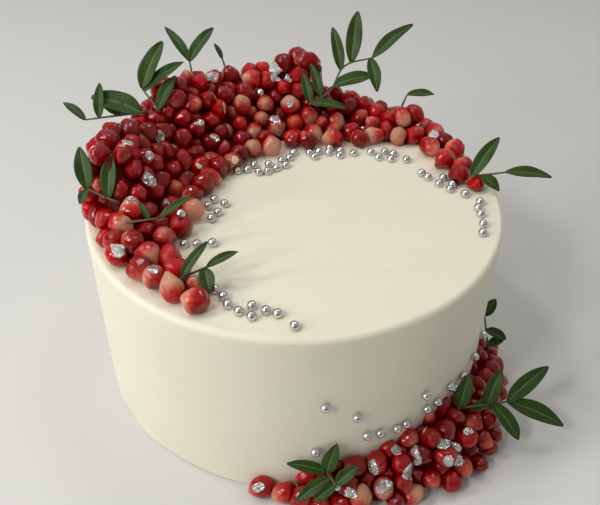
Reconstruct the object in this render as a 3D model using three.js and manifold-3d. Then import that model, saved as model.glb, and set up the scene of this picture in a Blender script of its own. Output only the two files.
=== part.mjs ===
// A round celebration cake in smooth ivory cream: a crescent heap of pomegranate seeds on top, a second
// heap round its foot at the front right, small leafy sprigs tucked into both, and silver sugar pearls beside
// them. Millimetres and degrees, +Z up. The origin is on the cake's axis, in the plane it rests on, and the
// front is at -Y. Azimuths turn anticlockwise from +X, seen from above. A heading's rise is its angle over
// level.
import * as THREE from "three";
import { mergeVertices } from "three/addons/utils/BufferGeometryUtils.js";
import Module from "manifold-3d";

// ---- Driving dimensions ----

const CAKE_HEIGHT = 87.5;
const TOP_RADIUS = 92;
const FOOT_RADIUS = 92.9;
const TOP_EDGE_ROUND = 2.5;
const TOP_EDGE_STEPS = 3;
const FOOT_EDGE_ROUND = 1;
const FOOT_EDGE_STEPS = 2;
const CAKE_SIDES = 60;
const GAP = 0.3; // air between the cake and whatever lies on it or against it

const DROP_SIDES = 5; // of a pearl or a pomegranate seed
const PEARL_RADIUS = 2;
const PEARL_SINK = 0.8; // how deep a pearl is pressed into the cream
const PEARL_SPACING = 4.1;
const PEARL_POINTS = 1.05; // its few points stand out a little over its radius
const PEARL_TRIES = 40; // for each pearl
const PEARL_DRAWS = 11; // the number that the pearls' draws start from
// Trails of pearls on the top, just inside the crescent: azimuth from and to, radius from and to, how far
// they stray from the line, and how many.
const TOP_PEARL_TRAILS = [
  { azimuths: [338, 358], radii: [84, 80], stray: 2.5, count: 5 },
  { azimuths: [359, 377], radii: [76, 62], stray: 3.5, count: 7 },
  { azimuths: [387, 406], radii: [61, 50], stray: 4.5, count: 6 },
  { azimuths: [410, 441], radii: [45, 33], stray: 4.5, count: 8 },
  { azimuths: [447, 480], radii: [31, 22], stray: 5, count: 6 },
  { azimuths: [484, 508], radii: [25, 31], stray: 4.5, count: 5 },
  { azimuths: [547, 574], radii: [32, 40], stray: 4.5, count: 5 },
  { azimuths: [580, 589], radii: [61, 51], stray: 2, count: 3 },
  { azimuths: [605, 631], radii: [74, 84], stray: 4, count: 9 },
];
// Pearls on the side, as azimuth and height.
const SIDE_PEARLS = [
  [276, 26], [278, 53], [286, 44], [289, 31], [292.6, 30], [297.5, 28.6], [300.3, 29],
  [305.7, 41], [307, 31], [311, 30.6], [316, 34], [319, 28.6], [323, 31], [330, 33], [338, 35],
];

const ARIL_LENGTH = 10; // one juicy seed: blunt at its outer end, drawn to a point where it was attached
const ARIL_WIDTH = 8.2;
const ARIL_WIDEST = 0.28; // where it is widest, as a share of its length above its middle
const ARIL_LEAST = 0.9; // the smallest seed's size
const ARIL_VARIETY = 0.2; // how much larger than that the largest one is
const ARIL_FLOOR = 0.34; // least height of a seed's middle over the floor, as a share of its width
const ARIL_LEAN = 8; // how far a seed may turn from straight out
const ARIL_TRIES = 9000; // enough to fill a heap
const SEED_MARGIN = 1.12; // a seed this many times as large still clears the leaves, stems and pearls
const LAYER = 7; // height of a single layer of seeds

const CORE_DEPTH = 6.2; // the core lies this far under the heap's outer form
const CORE_LEAST = 1.6; // its least thickness
const CORE_INSET = 3.5; // degrees that it is drawn in at either end
const CORE_COLUMNS = 6; // points across it
const CORE_STEP = 0.4; // the least that each point lies farther out than the one before
const CORE_RIM_STEP = 0.5; // the same, counted back from its outer rim

const CREST_PLACE = 0.68; // where the crescent's crest is, as a share of the way from inner to outer edge
const CREST_CLIMB = [0.12, 0.95]; // where the climb to it begins and ends, as shares of the way to the crest
const INNER_SEEDS = 0.4; // the form begins this share of a seed's width outside the heap's inner edge
// The crescent on top. At each station: azimuth, inner and outer radius, and height of its crest.
const TOP_HEAP = {
  stations: [
    [0, 78.5, 88, 7], [14, 70, 88, 9], [34, 71, 90, 10], [45, 58, 92, 15], [57, 49, 92, 13],
    [71, 43, 92, 16], [79, 39, 92, 18], [82.5, 38, 92, 35], [89, 37, 92, 38], [97, 36, 92, 34],
    [108, 34, 93, 30], [121, 31, 93, 31], [133, 33, 93, 34], [145, 32, 93, 37], [153, 32, 93, 27],
    [161, 33, 94, 26], [179, 38, 95, 34], [192, 41, 93, 37], [203, 44, 90, 17], [217, 55, 90, 12],
    [228, 67, 88.5, 10], [238, 74, 88, 9], [250, 77, 86, 7],
  ],
  spacing: 7.5,
  rows: 22,
  flakes: 12,
  draws: 5,
};
// The heap round the foot. At each station: azimuth, outer radius, and height against the cake's side.
const FOOT_HEAP = {
  stations: [
    [255, 101, 8], [263, 103, 9], [271, 105, 12], [278, 109, 17], [286, 112, 20], [292, 114, 21],
    [300, 116, 23], [307, 120, 27], [315, 120, 27], [323, 118, 24], [332, 113, 21], [341, 111, 20],
    [350, 107, 16], [358, 101, 7],
  ],
  spacing: 7.4,
  rows: 12,
  flakes: 6,
  draws: 7,
};

const FLAKE_SIZE = 3.6; // crumpled silver foil on the outer ends of some seeds
const FLAKE_MOST = 1.1; // a flake's greatest width, as a share of that size
const FLAKE_VARIETY = 0.3; // how much narrower it may be
const FLAKE_FLATNESS = 0.35;
const FLAKE_PLACE = 0.46; // share of a seed's length from its middle out to the flake on it
const FLAKE_RISE = 0.3; // flakes lie only on seeds whose outward direction rises at least this much

const STEM_RADIUS = 0.6;
const STEM_STEPS = 6; // along a bent stem
const LEAF_THICKNESS = 0.5;
const LEAF_ARCH = 26; // how far a leaf turns down along its length
const LEAF_FOLD = 0.16; // depth of the fold along its midrib, as a share of its width
const LEAF_PLACES = [0, 0.36, 0.74, 1]; // points along its midrib, as shares of its length
const LEAF_HALVES = [0.48, 0.43]; // half widths at the two middle points, as shares of its width
const LEAF_LIGHT = new THREE.Vector3(0, -0.5, 0.87); // leaves turn their upper faces up and to the front
// Each sprig: the root of its stem, the stem as runs of [heading, rise, length], and its leaves as
// [place along the stem from 0 to 1, heading, rise, length, width].
const SPRIGS = {
  sprig_left_back: {
    root: [-68, 27, 113.5],
    stem: [[190, -4, 28]],
    leaves: [[0.1, 170, 13, 24, 10.5], [0.4, 150, 24, 15, 8], [0.78, 90, 50, 16, 5], [1, 154, 27, 13, 4]],
  },
  sprig_left: {
    root: [-71, -29, 101.5],
    stem: [[165, 18, 14]],
    leaves: [[0.35, 84, 52, 18, 6.5], [1, 109, 50, 17.5, 7], [1, 235, -42, 7, 4]],
  },
  sprig_left_crest: {
    root: [-63, 30, 112],
    stem: [[138, 33, 14]],
    leaves: [[1, 56, 46, 24, 8.5], [0.1, 57, 40, 18, 6], [0.9, 24, 28, 23, 6]],
  },
  sprig_far_back: {
    root: [-52.5, 68, 108.5],
    stem: [[112, 62, 11]],
    leaves: [[1, 142, 40, 21, 5], [1, 44, 38, 21, 6.5]],
  },
  twig_far_back: {
    root: [-36.5, 75, 112.5],
    stem: [[120, 50, 6]],
    leaves: [[1, 132, 44, 9, 2.6]],
  },
  sprig_back: {
    root: [6, 55, 104],
    stem: [[28, 22, 13], [48, 44, 14], [14, 12, 15]],
    leaves: [
      [0.02, 112, 48, 16, 5], [0.03, 356, -6, 18, 5], [0.18, 116, 46, 18, 5], [0.4, 6, 13, 21, 7.5],
      [0.6, 108, 49, 22, 6], [0.76, 80, 51, 26, 8], [0.97, 285, -42, 18, 6.5], [1, 27, 31, 26, 6.5],
    ],
  },
  sprig_back_right: {
    root: [53.5, 65, 98],
    stem: [[40, 60, 7]],
    leaves: [[1, 0, 1, 14, 4.5]],
  },
  sprig_right: {
    root: [79, 7, 93.5],
    stem: [[2, 8, 16]],
    leaves: [[0.05, 40, 43, 21.5, 6.5], [0.3, 327, -26, 11, 5.5], [1, 356, -4, 21, 5.5]],
  },
  sprig_left_front: {
    root: [-66, -41, 100.5],
    stem: [[8, 5, 13]],
    leaves: [[0.7, 133, 42, 8, 2.6], [1, 22, 25, 17, 3.2]],
  },
  sprig_front_left: {
    root: [-42, -66, 93.5],
    stem: [[22, 14, 11]],
    leaves: [[0.05, 42, 39, 17, 4], [1, 18, 20, 13, 3.6], [0.9, 288, -34, 10, 6]],
  },
  sprig_foot_right: {
    root: [72, -67, 22],
    stem: [[14, -5, 24]],
    leaves: [
      [0.03, 66, 56, 16, 7], [0.58, 56, 54, 17, 7], [1, 29, 31, 24, 7.5], [1, 345, -17, 27, 8],
      [0.7, 321, -40, 20, 7], [0.75, 190, -6, 12, 4.8],
    ],
  },
  sprig_foot_far_right: {
    root: [95, -25, 14],
    stem: [[100, 50, 17]],
    leaves: [[0.15, 15, 18, 9, 4.6], [0.6, 344, -19, 11, 5.2], [1, 44, 41, 10, 5.6]],
  },
  sprig_foot_front: {
    root: [18.5, -101, 14.5],
    stem: [[130, 22, 6.5]],
    leaves: [
      [1, 48, 66, 14.5, 6.5], [1, 176, 14, 17, 5], [0.1, 24, 34, 12.5, 5.4], [0.6, 205, -24, 17, 5.4],
      [0.1, 208, -26, 11, 5],
    ],
  },
};

const CREAM = new THREE.MeshStandardMaterial({ color: 0xe9e5d3, roughness: 0.55, metalness: 0 });
const RED_SEEDS = new THREE.MeshStandardMaterial({ color: 0x8c1218, roughness: 0.15, metalness: 0 });
const LEAF_GREEN = new THREE.MeshStandardMaterial({ color: 0x2c4a20, roughness: 0.4, metalness: 0 });

// ---- Helpers ----

const wasm = await Module();
wasm.setup();

const UP = new THREE.Vector3(0, 0, 1);
const MERGE_WITHIN = 1e-3;
const radians = THREE.MathUtils.degToRad;

// The same draws between 0 and 1 every time, from one whole number. Each draw steps that number on and mixes
// its bits.
function drawsFrom(start) {
  const step = 0x6d2b79f5;
  const whole = 2 ** 32;
  let state = start;
  return () => {
    state = (state + step) | 0;
    let mixed = Math.imul(state ^ (state >>> 15), 1 | state);
    mixed = (mixed + Math.imul(mixed ^ (mixed >>> 7), 61 | mixed)) ^ mixed;
    return ((mixed ^ (mixed >>> 14)) >>> 0) / whole;
  };
}

// A place at some azimuth and distance from the cake's axis.
function polar(azimuth, radius, z) {
  return new THREE.Vector3(Math.cos(radians(azimuth)) * radius, Math.sin(radians(azimuth)) * radius, z);
}

// The direction with some heading and rise.
function headed(heading, rise) {
  return polar(heading, Math.cos(radians(rise)), Math.sin(radians(rise)));
}

// A closed mesh as a solid that can be joined and cut.
function solidOf(geometry) {
  const bare = geometry.clone();
  bare.deleteAttribute("normal");
  bare.deleteAttribute("uv");
  const merged = mergeVertices(bare, MERGE_WITHIN);
  const corners = merged.index.array;
  const triVerts = [];
  for (let i = 0; i < corners.length; i += 3) {
    const [a, b, c] = [corners[i], corners[i + 1], corners[i + 2]];
    if (a !== b && b !== c && c !== a) triVerts.push(a, b, c);
  }
  const vertProperties = merged.attributes.position.array;
  const mesh = new wasm.Mesh({ numProp: 3, vertProperties, triVerts: new Uint32Array(triVerts) });
  return new wasm.Manifold(mesh);
}

function geometryOf(solid) {
  const mesh = solid.getMesh();
  const geometry = new THREE.BufferGeometry();
  geometry.setAttribute("position", new THREE.BufferAttribute(new Float32Array(mesh.vertProperties), 3));
  geometry.setIndex(new THREE.BufferAttribute(new Uint32Array(mesh.triVerts), 1));
  return geometry;
}

function geometryFrom(points, faces) {
  const geometry = new THREE.BufferGeometry();
  geometry.setAttribute("position", new THREE.Float32BufferAttribute(points.flatMap((p) => p.toArray()), 3));
  geometry.setIndex(faces.flat());
  return geometry;
}

// A profile of [radius, height] turned round the cake's axis.
function turned(profile) {
  const points = profile.map(([radius, z]) => new THREE.Vector2(radius, z));
  return solidOf(new THREE.LatheGeometry(points, CAKE_SIDES).rotateX(Math.PI / 2));
}

// A value at one azimuth, eased between the stations on either side of it.
function between(stations, azimuth, column) {
  const last = stations.length - 1;
  if (azimuth <= stations[0][0]) return stations[0][column];
  if (azimuth >= stations[last][0]) return stations[last][column];
  const i = stations.findIndex((station) => station[0] > azimuth);
  const [before, after] = [stations[i - 1], stations[i]];
  const share = (azimuth - before[0]) / (after[0] - before[0]);
  const eased = share * share * (3 - 2 * share);
  return before[column] + (after[column] - before[column]) * eased;
}

// A small pointed body with its long axis along `out`: the few-sided form of a seed or a pearl. It is widest
// at `widest`, as a share of its length above its middle.
function makeDrop(place, out, length, width, widest, spin) {
  const points = [new THREE.Vector3(0, 0, -length / 2), new THREE.Vector3(0, 0, length / 2)];
  const faces = [];
  for (let i = 0; i < DROP_SIDES; i++) {
    points.push(polar((360 / DROP_SIDES) * i + spin, width / 2, widest * length));
    const [here, next] = [2 + i, 2 + ((i + 1) % DROP_SIDES)];
    faces.push([0, next, here], [1, here, next]);
  }
  const turn = new THREE.Quaternion().setFromUnitVectors(UP, out);
  return solidOf(geometryFrom(points.map((p) => p.applyQuaternion(turn).add(place)), faces));
}

// ---- Cake and pearls ----

// Points of [radius, height] round part of a circle.
function arc(centre, radius, from, to, steps) {
  return Array.from({ length: steps + 1 }, (_, i) => {
    const angle = radians(from + ((to - from) * i) / steps);
    return [centre[0] + Math.cos(angle) * radius, centre[1] + Math.sin(angle) * radius];
  });
}

// The cake's outline, or the same outline grown all round by some clearance.
function cakeProfile(grown) {
  const foot = [FOOT_RADIUS - FOOT_EDGE_ROUND, FOOT_EDGE_ROUND];
  const top = [TOP_RADIUS - TOP_EDGE_ROUND, CAKE_HEIGHT - TOP_EDGE_ROUND];
  return [
    [0, -grown],
    ...arc(foot, FOOT_EDGE_ROUND + grown, -90, 0, FOOT_EDGE_STEPS),
    ...arc(top, TOP_EDGE_ROUND + grown, 0, 90, TOP_EDGE_STEPS),
    [0, CAKE_HEIGHT + grown],
  ];
}

// The pearls' middles, and the direction out of the cream at each. Those of a trail are drawn at random along
// it, and a draw that comes too near another pearl is left out.
function placePearls() {
  const draw = drawsFrom(PEARL_DRAWS);
  const pearls = [];
  const free = (place) => pearls.every((pearl) => pearl.place.distanceTo(place) >= PEARL_SPACING);
  for (const { azimuths, radii, stray, count } of TOP_PEARL_TRAILS) {
    for (let i = 0, placed = 0; placed < count && i < PEARL_TRIES * count; i++) {
      const share = (placed + draw()) / count;
      const azimuth = azimuths[0] + (azimuths[1] - azimuths[0]) * share;
      const radius = radii[0] + (radii[1] - radii[0]) * share + (2 * draw() - 1) * stray;
      const place = polar(azimuth, radius, CAKE_HEIGHT + PEARL_RADIUS - PEARL_SINK);
      if (!free(place)) continue;
      pearls.push({ place, out: UP });
      placed++;
    }
  }
  for (const [azimuth, z] of SIDE_PEARLS) {
    const side = FOOT_RADIUS + ((TOP_RADIUS - FOOT_RADIUS) * z) / CAKE_HEIGHT;
    pearls.push({ place: polar(azimuth, side + PEARL_RADIUS - PEARL_SINK, z), out: headed(azimuth, 0) });
  }
  return pearls;
}

function makeCake(pearls) {
  const size = 2 * PEARL_RADIUS * PEARL_POINTS;
  const body = turned(cakeProfile(0));
  return pearls.reduce((cake, { place, out }) => cake.add(makeDrop(place, out, size, size, 0, 0)), body);
}

// ---- Sprigs ----

// A thin leaf, folded along its midrib and arched along its length. Both faces are split alike, and they meet
// in a point where the leaf grows from its stem.
function makeLeaf(root, heading, rise, length, width) {
  const along = headed(heading, rise);
  const side = new THREE.Vector3().crossVectors(along, LEAF_LIGHT).normalize();
  const out = new THREE.Vector3().crossVectors(side, along).normalize();
  const spine = [root.clone()];
  for (let i = 1; i < LEAF_PLACES.length; i++) {
    const [before, after] = [LEAF_PLACES[i - 1], LEAF_PLACES[i]];
    const turn = LEAF_ARCH * (0.5 - (before + after) / 2);
    spine.push(spine[i - 1].clone().addScaledVector(headed(heading, rise + turn), length * (after - before)));
  }
  const place = (i, across, lift) => {
    return spine[i].clone().addScaledVector(side, across).addScaledVector(out, lift);
  };
  const faceOf = (lift) => [
    ...LEAF_HALVES.flatMap((share, i) => {
      const half = share * width;
      const edge = lift + 2 * LEAF_FOLD * half;
      return [place(i + 1, -half, edge), place(i + 1, 0, lift), place(i + 1, half, edge)];
    }),
    place(3, 0, lift),
  ];
  const top = faceOf(LEAF_THICKNESS / 2);
  const points = [root, ...top, ...faceOf(-LEAF_THICKNESS / 2)];
  const under = (corner) => corner + top.length;
  const upper = [[1, 2, 5], [1, 5, 4], [2, 3, 6], [2, 6, 5], [4, 5, 7], [5, 6, 7]];
  const lower = upper.map((face) => face.map(under).reverse());
  const rim = [1, 4, 7, 6, 3];
  const edge = rim.slice(1).flatMap((b, i) => {
    const a = rim[i];
    return [[a, b, under(b)], [a, under(b), under(a)]];
  });
  const foot = [[0, 2, 1], [0, 3, 2]];
  const footUnder = foot.map(([a, b, c]) => [a, under(c), under(b)]);
  const footEdges = [[0, 1, under(1)], [0, under(3), 3]];
  return solidOf(geometryFrom(points, [...upper, ...lower, ...edge, ...foot, ...footUnder, ...footEdges]));
}

// A thin woody stem with its leaves. Each leaf's foot starts inside the stem, so that the two are joined.
function makeSprig({ root, stem, leaves }) {
  const joints = [new THREE.Vector3(...root)];
  for (const [heading, rise, length] of stem) {
    joints.push(joints[joints.length - 1].clone().addScaledVector(headed(heading, rise), length));
  }
  const bent = joints.length > 2;
  const route = bent ? new THREE.CatmullRomCurve3(joints) : new THREE.LineCurve3(...joints);
  const corners = [[1, 0], [0, 1], [-1, 0], [0, -1]];
  const outline = corners.map(([x, y]) => new THREE.Vector2(x, y).multiplyScalar(STEM_RADIUS));
  const section = new THREE.Shape(outline);
  const steps = bent ? STEM_STEPS : 1;
  const tube = new THREE.ExtrudeGeometry(section, { steps, extrudePath: route, bevelEnabled: false });
  return leaves.reduce((sprig, [along, heading, rise, length, width]) => {
    const foot = route.getPoint(along).addScaledVector(headed(heading, rise), -STEM_RADIUS);
    return sprig.add(makeLeaf(foot, heading, rise, length, width));
  }, solidOf(tube));
}

// ---- Heaps of pomegranate seeds ----

// The crescent's outer form across one azimuth: a single layer at its inner edge, a climb to the crest, and a
// round fall to the rim.
function topForm(azimuth, across) {
  const inner = between(TOP_HEAP.stations, azimuth, 1) + INNER_SEEDS * ARIL_WIDTH;
  const outer = between(TOP_HEAP.stations, azimuth, 2);
  const crest = Math.max(between(TOP_HEAP.stations, azimuth, 3), LAYER);
  const crestRadius = inner + (outer - inner) * CREST_PLACE;
  if (across < CREST_PLACE) {
    const share = across / CREST_PLACE;
    const height = LAYER + (crest - LAYER) * THREE.MathUtils.smoothstep(share, ...CREST_CLIMB);
    return polar(azimuth, inner + (crestRadius - inner) * share, CAKE_HEIGHT + GAP + height);
  }
  const angle = radians((90 * (across - CREST_PLACE)) / (1 - CREST_PLACE));
  const radius = crestRadius + (outer - crestRadius) * Math.sin(angle);
  return polar(azimuth, radius, CAKE_HEIGHT + GAP + crest * Math.cos(angle));
}

// The outer form of the heap at the foot: a quarter round from the cake's side down to the plane it rests on.
function footForm(azimuth, across) {
  const side = FOOT_RADIUS - FOOT_EDGE_ROUND;
  const outer = between(FOOT_HEAP.stations, azimuth, 1);
  const height = between(FOOT_HEAP.stations, azimuth, 2);
  const angle = radians(90 * across);
  return polar(azimuth, side + (outer - side) * Math.sin(angle), height * Math.cos(angle));
}

// The direction straight out of a form.
function outOf(form, azimuth, across) {
  const [turn, step] = [0.5, 0.01];
  const onwards = form(azimuth + turn, across).sub(form(azimuth - turn, across));
  const outwards = form(azimuth, Math.min(across + step, 1)).sub(form(azimuth, Math.max(across - step, 0)));
  return new THREE.Vector3().crossVectors(outwards, onwards).normalize();
}

// The closed core under a form, from floor level up. Its points lie straight in from the form, except where
// that would bring them back past one another or out past the rim.
function makeCore(heap, form, floor) {
  const first = heap.stations[0][0] + CORE_INSET;
  const last = heap.stations[heap.stations.length - 1][0] - CORE_INSET;
  const points = [];
  for (let i = 0; i <= heap.rows; i++) {
    const azimuth = first + ((last - first) * i) / heap.rows;
    const outermost = Math.hypot(form(azimuth, 1).x, form(azimuth, 1).y) - CORE_DEPTH;
    let radius = 0;
    const ridge = Array.from({ length: CORE_COLUMNS }, (_, j) => {
      const across = j / (CORE_COLUMNS - 1);
      const sunk = form(azimuth, across).addScaledVector(outOf(form, azimuth, across), -CORE_DEPTH);
      const farthest = outermost - CORE_RIM_STEP * (CORE_COLUMNS - 1 - j);
      radius = Math.max(radius + CORE_STEP, Math.min(Math.hypot(sunk.x, sunk.y), farthest));
      return polar(azimuth, radius, Math.max(sunk.z, floor + CORE_LEAST));
    });
    const [inner, outer] = [ridge[0], ridge[CORE_COLUMNS - 1]].map((p) => p.clone().setZ(floor));
    points.push(inner, ...ridge, outer);
  }
  const ring = CORE_COLUMNS + 2; // with the two points on the floor
  const faces = [];
  for (let i = 0; i < heap.rows; i++) {
    for (let j = 0; j < ring; j++) {
      const [a, b] = [i * ring + j, i * ring + ((j + 1) % ring)];
      faces.push([a, b, b + ring], [a, b + ring, a + ring]);
    }
  }
  const end = heap.rows * ring;
  for (let j = 1; j + 1 < ring; j++) faces.push([0, j + 1, j], [end, end + j, end + j + 1]);
  return solidOf(geometryFrom(points, faces));
}

// A crumpled flake of foil stuck on the blunt end of a seed.
function makeFlake(place, out, draw) {
  const flake = new THREE.OctahedronGeometry(FLAKE_SIZE / 2);
  const [wide, deep] = [draw(), draw()].map((share) => FLAKE_MOST - FLAKE_VARIETY * share);
  flake.scale(wide, deep, FLAKE_FLATNESS);
  flake.applyQuaternion(new THREE.Quaternion().setFromUnitVectors(UP, out));
  return solidOf(flake.translate(...place.toArray()));
}

// A core with seeds spread evenly over the form: each draw is kept if it is far enough from the others and
// clear of what stands in the heap. Some carry a flake of foil.
function makeHeap(heap, form, floor, obstacles) {
  const draw = drawsFrom(heap.draws);
  const [first, last] = [heap.stations[0][0], heap.stations[heap.stations.length - 1][0]];
  let solid = makeCore(heap, form, floor);
  const arils = [];
  for (let i = 0; i < ARIL_TRIES; i++) {
    const [azimuth, across] = [first + (last - first) * draw(), draw()];
    const size = ARIL_LEAST + ARIL_VARIETY * draw();
    const [lean, spin] = [ARIL_LEAN * (2 * draw() - 1), 360 * draw()];
    const [length, width] = [ARIL_LENGTH * size, ARIL_WIDTH * size];
    const out = outOf(form, azimuth, across).applyAxisAngle(UP, radians(lean));
    const place = form(azimuth, across).addScaledVector(out, -length / 2);
    place.z = Math.max(place.z, floor + ARIL_FLOOR * ARIL_WIDTH);
    if (arils.some((other) => other.place.distanceTo(place) < heap.spacing)) continue;
    const grown = makeDrop(place, out, length * SEED_MARGIN, width * SEED_MARGIN, ARIL_WIDEST, spin);
    if (grown.intersect(obstacles).volume() > 0) continue;
    arils.push({ place, out, length });
    solid = solid.add(makeDrop(place, out, length, width, ARIL_WIDEST, spin));
  }
  const facingUp = arils.filter(({ out }) => out.z > FLAKE_RISE);
  for (let i = 0; i < heap.flakes; i++) {
    const { place, out, length } = facingUp[Math.floor((facingUp.length * (i + 0.5)) / heap.flakes)];
    solid = solid.add(makeFlake(place.clone().addScaledVector(out, FLAKE_PLACE * length), out, draw));
  }
  return solid;
}

// What lies under a level plane, to be cut away.
function below(z) {
  const side = 300;
  return solidOf(new THREE.BoxGeometry(side, side, side).translate(0, 0, z - side / 2));
}

// A solid without the slivers that a cut has left apart from it.
function largestPiece(solid) {
  return solid.decompose().sort((a, b) => b.volume() - a.volume())[0];
}

// ---- The whole ----

const cakeGroup = new THREE.Group();

function addPiece(name, solid, material) {
  const mesh = new THREE.Mesh(geometryOf(solid), material);
  mesh.name = name;
  cakeGroup.add(mesh);
}

const sprigs = Object.entries(SPRIGS).map(([name, sprig]) => [name, makeSprig(sprig)]);
const cake = makeCake(placePearls());
const cakeSpace = turned(cakeProfile(GAP));
const obstacles = sprigs.reduce((all, [, sprig]) => all.add(sprig), cake.subtract(cakeSpace));
const topFloor = CAKE_HEIGHT + GAP;
const topHeap = makeHeap(TOP_HEAP, topForm, topFloor, obstacles).subtract(below(topFloor));
const footHeap = makeHeap(FOOT_HEAP, footForm, 0, obstacles).subtract(cakeSpace).subtract(below(0));

addPiece("cake", cake, CREAM);
addPiece("pomegranate_top", largestPiece(topHeap), RED_SEEDS);
addPiece("pomegranate_foot", largestPiece(footHeap), RED_SEEDS);
for (const [name, sprig] of sprigs) addPiece(name, sprig, LEAF_GREEN);

export default cakeGroup;
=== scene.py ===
# A round celebration cake in smooth ivory cream, dressed with pomegranate seeds, leafy sprigs, silver sugar
# pearls and scraps of silver leaf. Metres, +Z up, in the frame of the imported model: the origin is on the
# cake's axis in the plane it rests on, and the front is at -Y. Azimuths turn anticlockwise from +X. The
# sections follow the cake as it is put together, after the table, the light and the view.
import math

import bmesh
import bpy
import numpy as np
from mathutils import Matrix, Vector, noise
from mathutils.bvhtree import BVHTree


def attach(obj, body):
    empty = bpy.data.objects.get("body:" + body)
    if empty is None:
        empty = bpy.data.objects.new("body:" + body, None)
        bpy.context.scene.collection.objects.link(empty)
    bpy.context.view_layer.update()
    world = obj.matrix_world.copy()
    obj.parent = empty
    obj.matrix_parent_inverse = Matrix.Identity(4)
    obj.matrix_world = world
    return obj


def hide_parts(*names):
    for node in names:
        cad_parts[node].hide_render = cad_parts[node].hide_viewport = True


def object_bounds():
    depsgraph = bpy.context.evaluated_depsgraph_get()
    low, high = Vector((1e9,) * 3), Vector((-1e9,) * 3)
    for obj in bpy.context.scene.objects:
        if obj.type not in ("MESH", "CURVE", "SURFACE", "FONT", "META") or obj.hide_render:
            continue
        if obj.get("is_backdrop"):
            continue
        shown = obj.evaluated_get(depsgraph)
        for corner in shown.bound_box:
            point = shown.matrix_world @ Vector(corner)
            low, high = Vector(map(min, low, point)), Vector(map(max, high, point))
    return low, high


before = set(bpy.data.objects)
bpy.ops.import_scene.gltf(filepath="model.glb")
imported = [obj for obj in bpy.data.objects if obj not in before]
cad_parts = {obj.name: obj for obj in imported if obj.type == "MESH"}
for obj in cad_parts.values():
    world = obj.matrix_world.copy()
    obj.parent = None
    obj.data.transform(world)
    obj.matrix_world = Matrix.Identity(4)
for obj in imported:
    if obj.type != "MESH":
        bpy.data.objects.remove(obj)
cad_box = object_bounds()
scene = bpy.context.scene


# ---- Table, light and view ----
# A plain pale table top carries the cake. Daylight comes through the four panes of a window on the left and
# through a skylight. The room gives back a weaker light, most of it from above and the back right. The view
# is that of a hand-held camera, close and a little rolled.

TABLE_HALF = 3.0
TABLE_COLOUR = (0.66, 0.66, 0.645, 1)
TABLE_MOTTLE = (0.63, 0.635, 0.62, 1)
MOTTLES = 9.0  # to the metre
ROOM_DIM = (0.10, 0.10, 0.105, 1)
ROOM_BRIGHT = (0.43, 0.425, 0.41, 1)
ROOM_AWAY = Vector((0.45, 0.40, 0.60)).normalized()  # towards the brightest part of the room
ROOM_FADE = (-0.6, 0.9)  # how far a direction goes that way where the room is dimmest and brightest
DAYLIGHT = (1.0, 0.98, 0.95)
SKYLIGHT = (1.0, 0.99, 0.97)
LAMPLIGHT = (1.0, 0.98, 0.94)
# Each lamp: azimuth and rise of the direction it stands in, distance, side of its square, watts, and colour.
LAMPS = {
    "window_low_back": (196, 22, 1.25, 0.17, 2.8, DAYLIGHT),
    "window_low_front": (222, 22, 1.25, 0.17, 2.8, DAYLIGHT),
    "window_high_back": (192, 43, 1.25, 0.17, 3.1, DAYLIGHT),
    "window_high_front": (226, 43, 1.25, 0.17, 3.1, DAYLIGHT),
    "skylight": (160, 62, 1.20, 0.15, 2.2, SKYLIGHT),
    "ceiling": (52, 68, 1.40, 0.34, 2.3, LAMPLIGHT),
}
VIEW_PLACE = Vector((0.00254, -0.26165, 0.26394))
VIEW_PITCH = math.radians(38.77)
VIEW_ROLL = math.radians(0.76)
VIEW_LENS = 41.91
VIEW_SENSOR = 36.0  # millimetres, as the lens
PICTURE = (600, 505)  # the picture's width and height in pixels
CAKE_MIDDLE = Vector((0, 0, 0.06))


def colour_of(red, green, blue):
    """A colour for a shader's socket, from its linear red, green and blue."""
    return (red, green, blue, 1)


def headed(heading, rise):
    """The direction with some heading and rise, in degrees."""
    heading, rise = math.radians(heading), math.radians(rise)
    return Vector((math.cos(heading) * math.cos(rise), math.sin(heading) * math.cos(rise), math.sin(rise)))


def shaped(name, points, faces, *finishes):
    """A smooth mesh of some points and faces, with its finishes."""
    mesh = bpy.data.meshes.new(name)
    mesh.from_pydata([tuple(point) for point in points], [], [tuple(face) for face in faces])
    mesh.shade_smooth()
    for finish in finishes:
        mesh.materials.append(finish)
    thing = bpy.data.objects.new(name, mesh)
    scene.collection.objects.link(thing)
    return thing


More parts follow.
